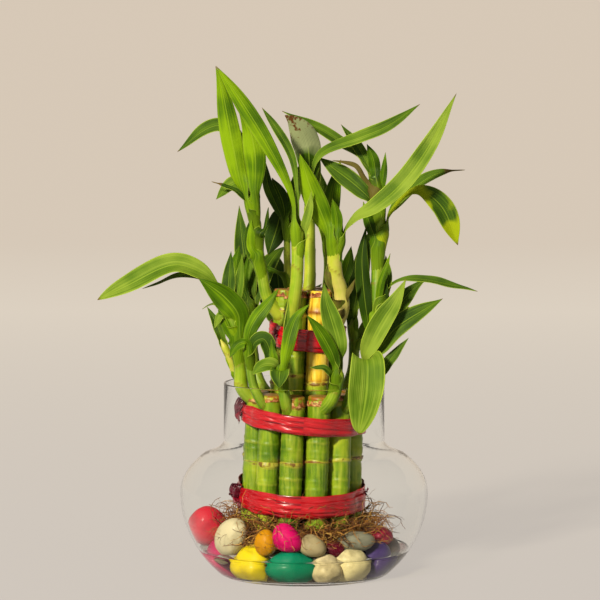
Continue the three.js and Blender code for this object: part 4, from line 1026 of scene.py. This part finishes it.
def leaf_material(name, dark, mid, light, base, roughness):
    """A leaf's skin: fine veins along the blade, a pale edge and midrib, a brown tip."""
    material, tree = blank_material(name)
    spot = add(tree, "UVMap", uv_map="UVMap")
    place = add(tree, "TexCoord")
    across = add(tree, "SeparateXYZ", {0: spot}).outputs["Y"]
    tone, yellow, withered, dry, along, thread = [add(tree, "Attribute", attribute_name=layer)
                                                  for layer in LEAF_LAYERS]
    patch = add(tree, "TexNoise", {"Vector": place, "Scale": cells(18.2), "Detail": 2.0})
    fleck = add(tree, "TexNoise", {"Vector": place, "Scale": cells(2.38), "Detail": 3.0})
    turns = add(tree, "Math", {0: across, 1: 2 * math.pi * LEAF_WIDTH / LEAF_VEIN}, operation="MULTIPLY")
    veins = add(tree, "Math", {0: turns}, operation="SINE")
    stretched = add(tree, "Mapping", {"Vector": spot, "Scale": (1.2, LEAF_WIDTH / LEAF_STREAK, 1.0)})
    streak = add(tree, "TexNoise", {"Vector": stretched, "Scale": 1.0, "Detail": 4.0})
    # The tone, set per leaf, shifts the whole green: partly the leaf's age, partly painted shade and
    # light.
    toned = add(tree, "MapRange", {0: tone, 1: -1.0, 2: 1.0, 3: -0.62, 4: 0.62})
    mottle = add(tree, "Math", {0: streak, 1: patch}, operation="ADD")
    shade = add(tree, "Math", {0: mottle, 1: toned}, operation="ADD")
    depth = add(tree, "MapRange", {0: shade, 1: 0.7, 2: 1.3})
    green = add(tree, "ValToRGB", {0: depth}, [(0.0, dark), (0.5, mid), (1.0, light)])
    sideways = add(tree, "Math", {0: across, 1: 0.5}, operation="SUBTRACT")
    width = add(tree, "Math", {0: sideways}, operation="ABSOLUTE")
    yellowed = add(tree, "Math", {0: patch, 1: yellow}, operation="MULTIPLY")
    parched = add(tree, "Math", {0: fleck, 1: dry}, operation="ADD")
    # The withered leaf is bleached from its middle on and scorched at its end.
    drift = add(tree, "MapRange", {0: patch, 1: 0.3, 2: 0.7, 3: -0.1, 4: 0.1})
    reach = add(tree, "Math", {0: along, 1: drift}, operation="ADD")
    far = add(tree, "MapRange", {0: reach, 1: 0.42, 2: 0.52})
    bleached = add(tree, "Math", {0: withered, 1: far}, operation="MULTIPLY")
    flecked = add(tree, "Math", {0: fleck, 1: along}, operation="ADD")
    end = add(tree, "MapRange", {0: flecked, 1: 1.32, 2: 1.42})
    scorched = add(tree, "Math", {0: withered, 1: end}, operation="MULTIPLY")
    beyond = add(tree, "Math", {0: along, 1: thread}, operation="SUBTRACT")
    colour = coated(tree, green, (veins, 0.2, 1.0, 0.18, light), (along, 0.22, -0.2, 0.75, base),
                    (width, 0.46, 0.49, 0.75, "A2B83C"), (width, 0.03, 0.0, 0.65, "8AA42A"),
                    (yellowed, 0.47, 0.55, 0.92, "96A60C"), (parched, 0.7, 1.2, 0.85, "605028"),
                    (bleached, 0, 1, 1, "8C9668"), (scorched, 0, 1, 1, "5E3A1A"),
                    (beyond, 0.0, 0.02, 0.85, "6A5228"))
    ripple = add(tree, "MapRange", {0: streak, 1: 0.3, 2: 0.7, 3: 0.0, 4: 3.0})
    relief = add(tree, "Math", {0: veins, 1: ripple}, operation="ADD")
    bump = add(tree, "Bump", {"Height": relief, "Strength": 0.35, "Distance": 0.0002})
    skin = add(tree, "BsdfPrincipled", {"Base Color": colour, "Roughness": roughness, "IOR": 1.4,
                                        "Specular IOR Level": 0.15, "Normal": bump})
    glow = add(tree, "BsdfTranslucent", {"Color": colour})
    both = add(tree, "MixShader", {0: 0.2, 1: skin, 2: glow})
    add(tree, "OutputMaterial", {"Surface": both})
    return material


def thickened(piece, thickness):
    """Gives a thin sheet its thickness in millimetres, half to each side."""
    wall = piece.modifiers.new("thickness", "SOLIDIFY")
    wall.thickness = thickness * MM
    wall.offset = 0
    return wall


upper_side = leaf_material("leaf_upper_side", "163002", "426603", "7A9C08", "6E8A12", 0.46)
under_side = leaf_material("leaf_underside", "26440A", "527212", "809830", "7A8C24", 0.56)

for number, (cane, (radius, _, _, leaves)) in enumerate(SHOOTS.items()):
    shape = bmesh.new()
    layers = kept_values(shape, *LEAF_LAYERS)
    draw = random.Random(LEAF_SEED + number)
    for rank, row in enumerate(sorted(leaves, key=lambda row: -row[0])):
        blade(shape, stems[cane], radius, rank, row, draw, layers)
    tuft = finished(f"leaves_of_{cane}", shape, [upper_side, under_side], "green_plant", cane)
    thickened(tuft, BLADE_THICKNESS).material_offset = 1
    soft = tuft.modifiers.new("smoothing", "SUBSURF")
    soft.levels = 1
    soft.render_levels = 1


# Roots: a brown fibrous mat round the feet of the canes, made of many thin curly strands that
# spread over the stones. The pad inside it is the oldest, tightly matted part.
ROOT_SEED = 5
PAD_PROFILE = [(0, 18.6), (26, 18.6), (31, 20), (32.5, 22.5), (30, 25.5), (22, 27.5), (0, 28)]
PAD_STEPS = 72
PAD_RIPPLE = 1.1
STRAND_COUNT = 1400
STRAND_STEPS = 12
STRAND_STRIDE = 1.9
STRAND_FLOOR = 18.9
STRAND_TAPER = 0.75
STRAND_CURL = 0.6
STRAND_DROP = 0.12
LONG_THICKNESS = 0.42
LONG_JITTER = 0.35
GLASS_CLEARANCE = 3.6
LONG_ROOTS = [
    [(-34, -12, 22), (-40, -16, 27), (-45, -15, 33), (-44, -13, 38), (-41, -13, 40)],
    [(-32, -14, 24), (-37, -18, 30), (-42, -19, 33), (-46, -17, 37)],
    [(-30, -16, 26), (-36, -20, 30), (-39, -19, 36), (-43, -18, 36)],
    [(30, -16, 23), (36, -19, 28), (41, -18, 32), (46, -15, 30), (49, -13, 24)],
    [(29, -18, 22), (35, -22, 24), (40, -20, 29), (44, -18, 27)],
    [(28, -20, 21), (33, -24, 25), (37, -22, 31), (39, -20, 34)],
]
LONG_STEPS = 26

draw = random.Random(ROOT_SEED)
root_shape = bmesh.new()
kept_values(root_shape, "tone")
root_shape.loops.layers.uv.new("UVMap")
spun(root_shape, PAD_PROFILE, PAD_STEPS)
bmesh.ops.subdivide_edges(root_shape, edges=root_shape.edges, cuts=2, use_grid_fill=True)
for vert in root_shape.verts:
    ripple = noise.noise(vert.co * 0.35) + 0.6 * noise.noise(vert.co * 0.9)
    vert.co += vert.co.normalized() * ripple * PAD_RIPPLE
    vert.co.x += LEAN_FOOT
loose = bpy.data.meshes.new("loose_strand")


def add_strand(route, thickness, tone):
    """Adds one thin tapered root along a route. It is made apart, as the mat is large."""
    steps = len(route) - 1
    rings = [(here, (after - here).normalized()) for here, after in zip(route, route[1:])]
    rings.append((route[-1], rings[-1][1]))

    def place(a, b):
        centre, direction = rings[round(a * steps)]
        right = direction.orthogonal().normalized()
        angle = 2 * math.pi * b
        size = thickness * (1 - STRAND_TAPER * a)
        return centre + (right * math.cos(angle)
                         + direction.cross(right) * math.sin(angle)) * size

    strand = bmesh.new()
    layers = kept_values(strand, "tone")
    bent_grid(strand, steps, 3, place, close=True)
    for vert in strand.verts:
        vert[layers["tone"]] = tone
    strand.to_mesh(loose)
    strand.free()
    root_shape.from_mesh(loose)


for strand in range(STRAND_COUNT):
    heading = draw.uniform(0, 360)
    point = plan_point(heading, draw.uniform(22, 34), draw.uniform(20.5, 28.5))
    point.x += LEAN_FOOT
    course = plan_point(heading + draw.uniform(-80, 80), 1, draw.uniform(-0.4, 0.9))
    route = [point.copy()]
    for step in range(STRAND_STEPS):
        course += scatter(draw, STRAND_CURL) - Vector((0, 0, STRAND_DROP))
        course.normalize()
        point += course * STRAND_STRIDE
        keep_inside(point, GLASS_CLEARANCE)
        point.z = max(point.z, STRAND_FLOOR + draw.uniform(0, 0.6))
        route.append(point.copy())
    add_strand(route, draw.uniform(0.2, 0.42), draw.uniform(0, 1))
for points in LONG_ROOTS:
    path = smooth_path(points)
    route = []
    for step in range(LONG_STEPS + 1):
        route.append(path_point(path, step / LONG_STEPS)[0] + scatter(draw, LONG_JITTER))
    add_strand(route, LONG_THICKNESS, draw.uniform(0.2, 0.7))
bpy.data.meshes.remove(loose)

# Root skin: dry and matt, from red-brown to pale straw from strand to strand.
fibre_skin, tree = blank_material("fibrous_root")
fleck = add(tree, "TexNoise", {"Vector": add(tree, "TexCoord"), "Scale": cells(1.11), "Detail": 3.0})
flecked = add(tree, "MapRange", {0: fleck, 1: 0.3, 2: 0.7, 3: -0.15, 4: 0.15})
toned = add(tree, "Math", {0: add(tree, "Attribute", attribute_name="tone"), 1: flecked},
            operation="ADD")
brown = add(tree, "ValToRGB", {0: toned}, [(0.0, "4A260A"), (0.35, "70400C"), (0.7, "9A661E"),
                                           (1.0, "C29A48")])
bump = add(tree, "Bump", {"Height": fleck, "Strength": 0.6, "Distance": 0.0005})
skin = add(tree, "BsdfPrincipled", {"Base Color": brown, "Roughness": 0.8, "Normal": bump})
add(tree, "OutputMaterial", {"Surface": skin})
finished("root_mat", root_shape, [fibre_skin], "root_fibre", "roots")


# Ribbons: thin glossy gift ribbon, about 10 mm wide, wound several times round the canes and tied
# at one side. It lies in lengthwise pleats and spans straight from cane to cane.
# Height, band, tilt to the front and to the right, knot, then the canes' count, first and spread, and
# how far it runs outside their middles.
RIBBONS = {
    "ribbon_outer_upper": (78.6, 9, 4, 6, -84, 12, OUTER_FIRST, 24.1, OUTER_RADIUS + 0.75),
    "ribbon_outer_lower": (41, 11.4, 7, 2, -76, 12, OUTER_FIRST, 24.6, OUTER_RADIUS + 0.85),
    "ribbon_inner": (118, 11, 4, 5, 150, 6, INNER_FIRST, 11.7, INNER_RADIUS + 0.6),
}
WINDINGS = 4
WINDING_STEP = 0.22
RIBBON_STEPS = 150
RIBBON_COLUMNS = 14
RIBBON_THICKNESS = 0.14
RIBBON_SEED = 700
CREASES = 6
CREASE_HEIGHT = 0.5
LOOP_SIZES = (0.85, 0.7, 0.55)
LOOP_WIDTH = 4.6
END_WIDTH = 5.5
TAIL_WIDTH = 3.6
TAIL_TURN = 158
FILM_STREAKS_ROUND = 7.0
FILM_STREAKS_ACROSS = 3.6
STRIP_ROWS = 26
STRIP_COLUMNS = 6


def crease(x, y, seed):
    """How far the film stands out at a place, from sharp creases along it."""
    return CREASE_HEIGHT * (1 - 2 * abs(noise.noise(Vector((x, y, seed)))))


def add_strip(points, width, turns, shade):
    """Adds a loose length of crumpled ribbon along a path, twisted a little."""
    path = smooth_path(points)
    centres = [path_point(path, row / STRIP_ROWS) for row in range(STRIP_ROWS + 1)]
    phase = draw.uniform(0, 6.28)
    seed = draw.uniform(0, 50)

    def place(a, b):
        centre, direction = centres[round(a * STRIP_ROWS)]
        right = direction.orthogonal().normalized()
        right = Quaternion(direction, phase + turns * a * 2 * math.pi) @ right
        squeeze = 0.45 + 0.55 * math.sin(math.pi * min(1.0, a + 0.15)) ** 0.5
        return (centre + right * (2 * b - 1) * width / 2 * squeeze
                + direction.cross(right) * crease(a * 5, b * 4, seed))

    # Each corner keeps how much painted shade darkens this loose strip.
    for vert in bent_grid(shape, STRIP_ROWS, STRIP_COLUMNS, place):
        vert[painted_shade_layer] = shade


# Ribbon film: glossy and red, with streaks along it. Painted shade: the streaks run from a dark red in the
# creases to a painted pale pink sheen, and the loose strips of the knot and tail are drawn darker.
film, tree = blank_material("glossy_ribbon_film")
painted_shade = add(tree, "Attribute", attribute_name="painted_shade")
spot = add(tree, "UVMap", uv_map="UVMap")
stretched = add(tree, "Mapping", {"Vector": spot, "Scale": (FILM_STREAKS_ROUND, FILM_STREAKS_ACROSS, 1.0)})
streak = add(tree, "TexNoise", {"Vector": stretched, "Scale": 1.0, "Detail": 4.0})
# The streaks run from a dark red, painted shade in the creases, to a pale pink, painted sheen.
red = add(tree, "ValToRGB", {0: streak}, [(0.32, "4A0210"), (0.42, "980612"), (0.6, "B40A16"),
                                          (0.72, "C8304A")])
# The loose strips' darker red is painted shade.
dark = add(tree, "ValToRGB", {0: streak}, [(0.3, "2C0612"), (0.55, "540E22"), (0.75, "7C2A42")])
bump = add(tree, "Bump", {"Height": streak, "Strength": 0.8, "Distance": 0.0006})
skin = add(tree, "BsdfPrincipled", {"Base Color": coated(tree, red, (painted_shade, 0, 1, 1, dark)),
                                    "Roughness": 0.3, "IOR": 1.45, "Coat Weight": 0.35,
                                    "Coat Roughness": 0.1, "Normal": bump})
add(tree, "OutputMaterial", {"Surface": skin})

for number, (name, row) in enumerate(RIBBONS.items()):
    height, band, tilt_front, tilt_right, knot, count, first, spread, hug = row
    draw = random.Random(RIBBON_SEED + number)
    shape = bmesh.new()
    painted_shade_layer = kept_values(shape, "painted_shade")["painted_shade"]
    for winding in range(WINDINGS):
        half = band / 2 * (0.97 if winding == 0 else draw.uniform(0.4, 0.75))
        drop = draw.uniform(-1, 1) * (band / 2 - half)
        phase = draw.uniform(0, 6.28)
        seed = draw.uniform(0, 50)

        def place(a, b):
            angle = 2 * math.pi * a
            off = (math.degrees(angle) - first) % (360 / count)
            off = min(off, 360 / count - off)
            waist = 1 - 0.25 * math.exp(-((math.degrees(angle) - knot - 8) % 360 / 14) ** 2)
            low = 0.25 * half * math.sin(2 * angle + phase)
            ring = Vector((math.cos(angle), math.sin(angle))) * 3
            fold = crease(ring.x + 9, b * CREASES / 2 + ring.y, seed)
            radius = spread * math.cos(math.radians(off)) + hug + WINDING_STEP * winding + fold
            return Vector((radius * math.sin(angle), -radius * math.cos(angle),
                           (drop + low) * (winding > 0) + (2 * b - 1) * half * waist))

        made = bent_grid(shape, RIBBON_STEPS, RIBBON_COLUMNS, place)
        bmesh.ops.remove_doubles(shape, verts=list(made), dist=1e-4)
    reach = spread + hug
    middle = plan_point(knot, reach + 0.9)
    out = plan_point(knot, 1)
    up = Vector((0, 0, 1))
    along = up.cross(out)
    for way in (-1, 1):
        for size in LOOP_SIZES:
            turn = draw.uniform(-1.2, 1.2)
            loop = [middle, middle + along * way * 3 * size + up * (4.5 * size + turn),
                    middle + along * way * 4.5 * size + up * (1 + turn) + out * 1.2,
                    middle + along * way * 2.5 * size - up * 3.5 * size, middle]
            add_strip(loop, LOOP_WIDTH, 0.3, 1.0)
        end = [middle, middle + along * way * 4 - up * 1.5 + out * 0.8,
               middle + along * way * 8 - up * 5 + out * 0.4]
        add_strip(end, END_WIDTH, 0.2, 0.8)
    out = plan_point(knot + TAIL_TURN, 1)
    foot = out * (reach + 0.4)
    tail = [foot - out * 2, foot + out * 0.7 + up * 2, foot + out * 1.8 + up * 4]
    add_strip(tail, TAIL_WIDTH, 0.4, 1.0)
    tilt = (Quaternion((0, 1, 0), math.radians(tilt_right))
            @ Quaternion((1, 0, 0), math.radians(tilt_front))).to_matrix()
    bmesh.ops.rotate(shape, cent=(0, 0, 0), matrix=tilt, verts=shape.verts)
    bmesh.ops.translate(shape, vec=(lean_at(height), 0, height), verts=shape.verts)
    thickened(finished(f"wound_{name}", shape, [film], "red_ribbon", name), RIBBON_THICKNESS)


# Floor: a plain pale sheet that curves up behind. It glows as if lit from all round, and one small
# lamp from the front left above and a dim pale sky light the plant.
FLOOR_HALF = 6.0
FLOOR_FRONT = 6.0
FLOOR_BACK = 3.0
COVE_RADIUS = 0.6
COVE_STEPS = 16
COVE_TOP = 2.5
LAMP_PLACE = Vector((-1.0, -1.9, 1.25))
LAMP_AIM = Vector((0, 0, 0.12))
LAMP_SIZE = 0.3
LAMP_POWER = 115.0
SKY_STRENGTH = 0.36

floor_shape = bmesh.new()
line = [(-FLOOR_FRONT, 0.0), (FLOOR_BACK, 0.0)]
line += [(FLOOR_BACK + COVE_RADIUS * math.sin(a), COVE_RADIUS * (1 - math.cos(a)))
         for a in [math.pi / 2 * i / COVE_STEPS for i in range(1, COVE_STEPS + 1)]]
line.append((FLOOR_BACK + COVE_RADIUS, COVE_TOP))
points = [floor_shape.verts.new((-FLOOR_HALF, y, z)) for y, z in line]
edges = [floor_shape.edges.new(pair) for pair in zip(points, points[1:])]
made = bmesh.ops.extrude_edge_only(floor_shape, edges=edges)
moved = [item for item in made["geom"] if isinstance(item, bmesh.types.BMVert)]
bmesh.ops.translate(floor_shape, vec=(2 * FLOOR_HALF, 0, 0), verts=moved)
bmesh.ops.recalc_face_normals(floor_shape, faces=floor_shape.faces)
for face in floor_shape.faces:
    face.smooth = True
floor_mesh = bpy.data.meshes.new("floor")
floor_shape.to_mesh(floor_mesh)
floor_shape.free()
floor = bpy.data.objects.new("floor", floor_mesh)
bpy.context.scene.collection.objects.link(floor)
floor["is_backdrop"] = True

# Matt paper: warmer up the back than on the floor, and so evenly bright that the plant's shadow on
# it stays faint.
paper, tree = blank_material("matt_paper")
back = add(tree, "SeparateXYZ", {0: add(tree, "TexCoord")}).outputs["Y"]
depth = add(tree, "MapRange", {0: back, 1: -0.2, 2: FLOOR_BACK + COVE_RADIUS})
tint = add(tree, "ValToRGB", {0: depth}, [(0.0, "BAB3AC"), (0.22, "C6BDB2"), (0.5, "D4C9BA"),
                                          (1.0, "CDBFAE")])
skin = add(tree, "BsdfPrincipled", {"Base Color": "545250", "Roughness": 0.95, "Specular IOR Level": 0.0,
                                    "Emission Color": tint, "Emission Strength": 1.0})
add(tree, "OutputMaterial", {"Surface": skin})
floor_mesh.materials.append(paper)

light = bpy.data.lights.new("key_lamp", "AREA")
light.size = LAMP_SIZE
light.energy = LAMP_POWER
light.color = linear("FFF4E2")[:3]
lamp = bpy.data.objects.new("key_lamp", light)
lamp.location = LAMP_PLACE
lamp.rotation_euler = (LAMP_AIM - LAMP_PLACE).to_track_quat("-Z", "Y").to_euler()
bpy.context.scene.collection.objects.link(lamp)
# The clear pieces show no mirror image of the lamp.
lit = bpy.data.collections.new("lit_by_key_lamp")
lamp.light_linking.receiver_collection = lit
for number, clear_piece in enumerate(clear_pieces):
    lit.objects.link(clear_piece)
    lit.collection_objects[number].light_linking.link_state = "EXCLUDE"

sky = bpy.data.worlds.new("sky")
sky.use_nodes = True
sky.node_tree.nodes["Background"].inputs["Color"].default_value = linear("EEE8E0")
sky.node_tree.nodes["Background"].inputs["Strength"].default_value = SKY_STRENGTH
bpy.context.scene.world = sky

low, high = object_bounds()
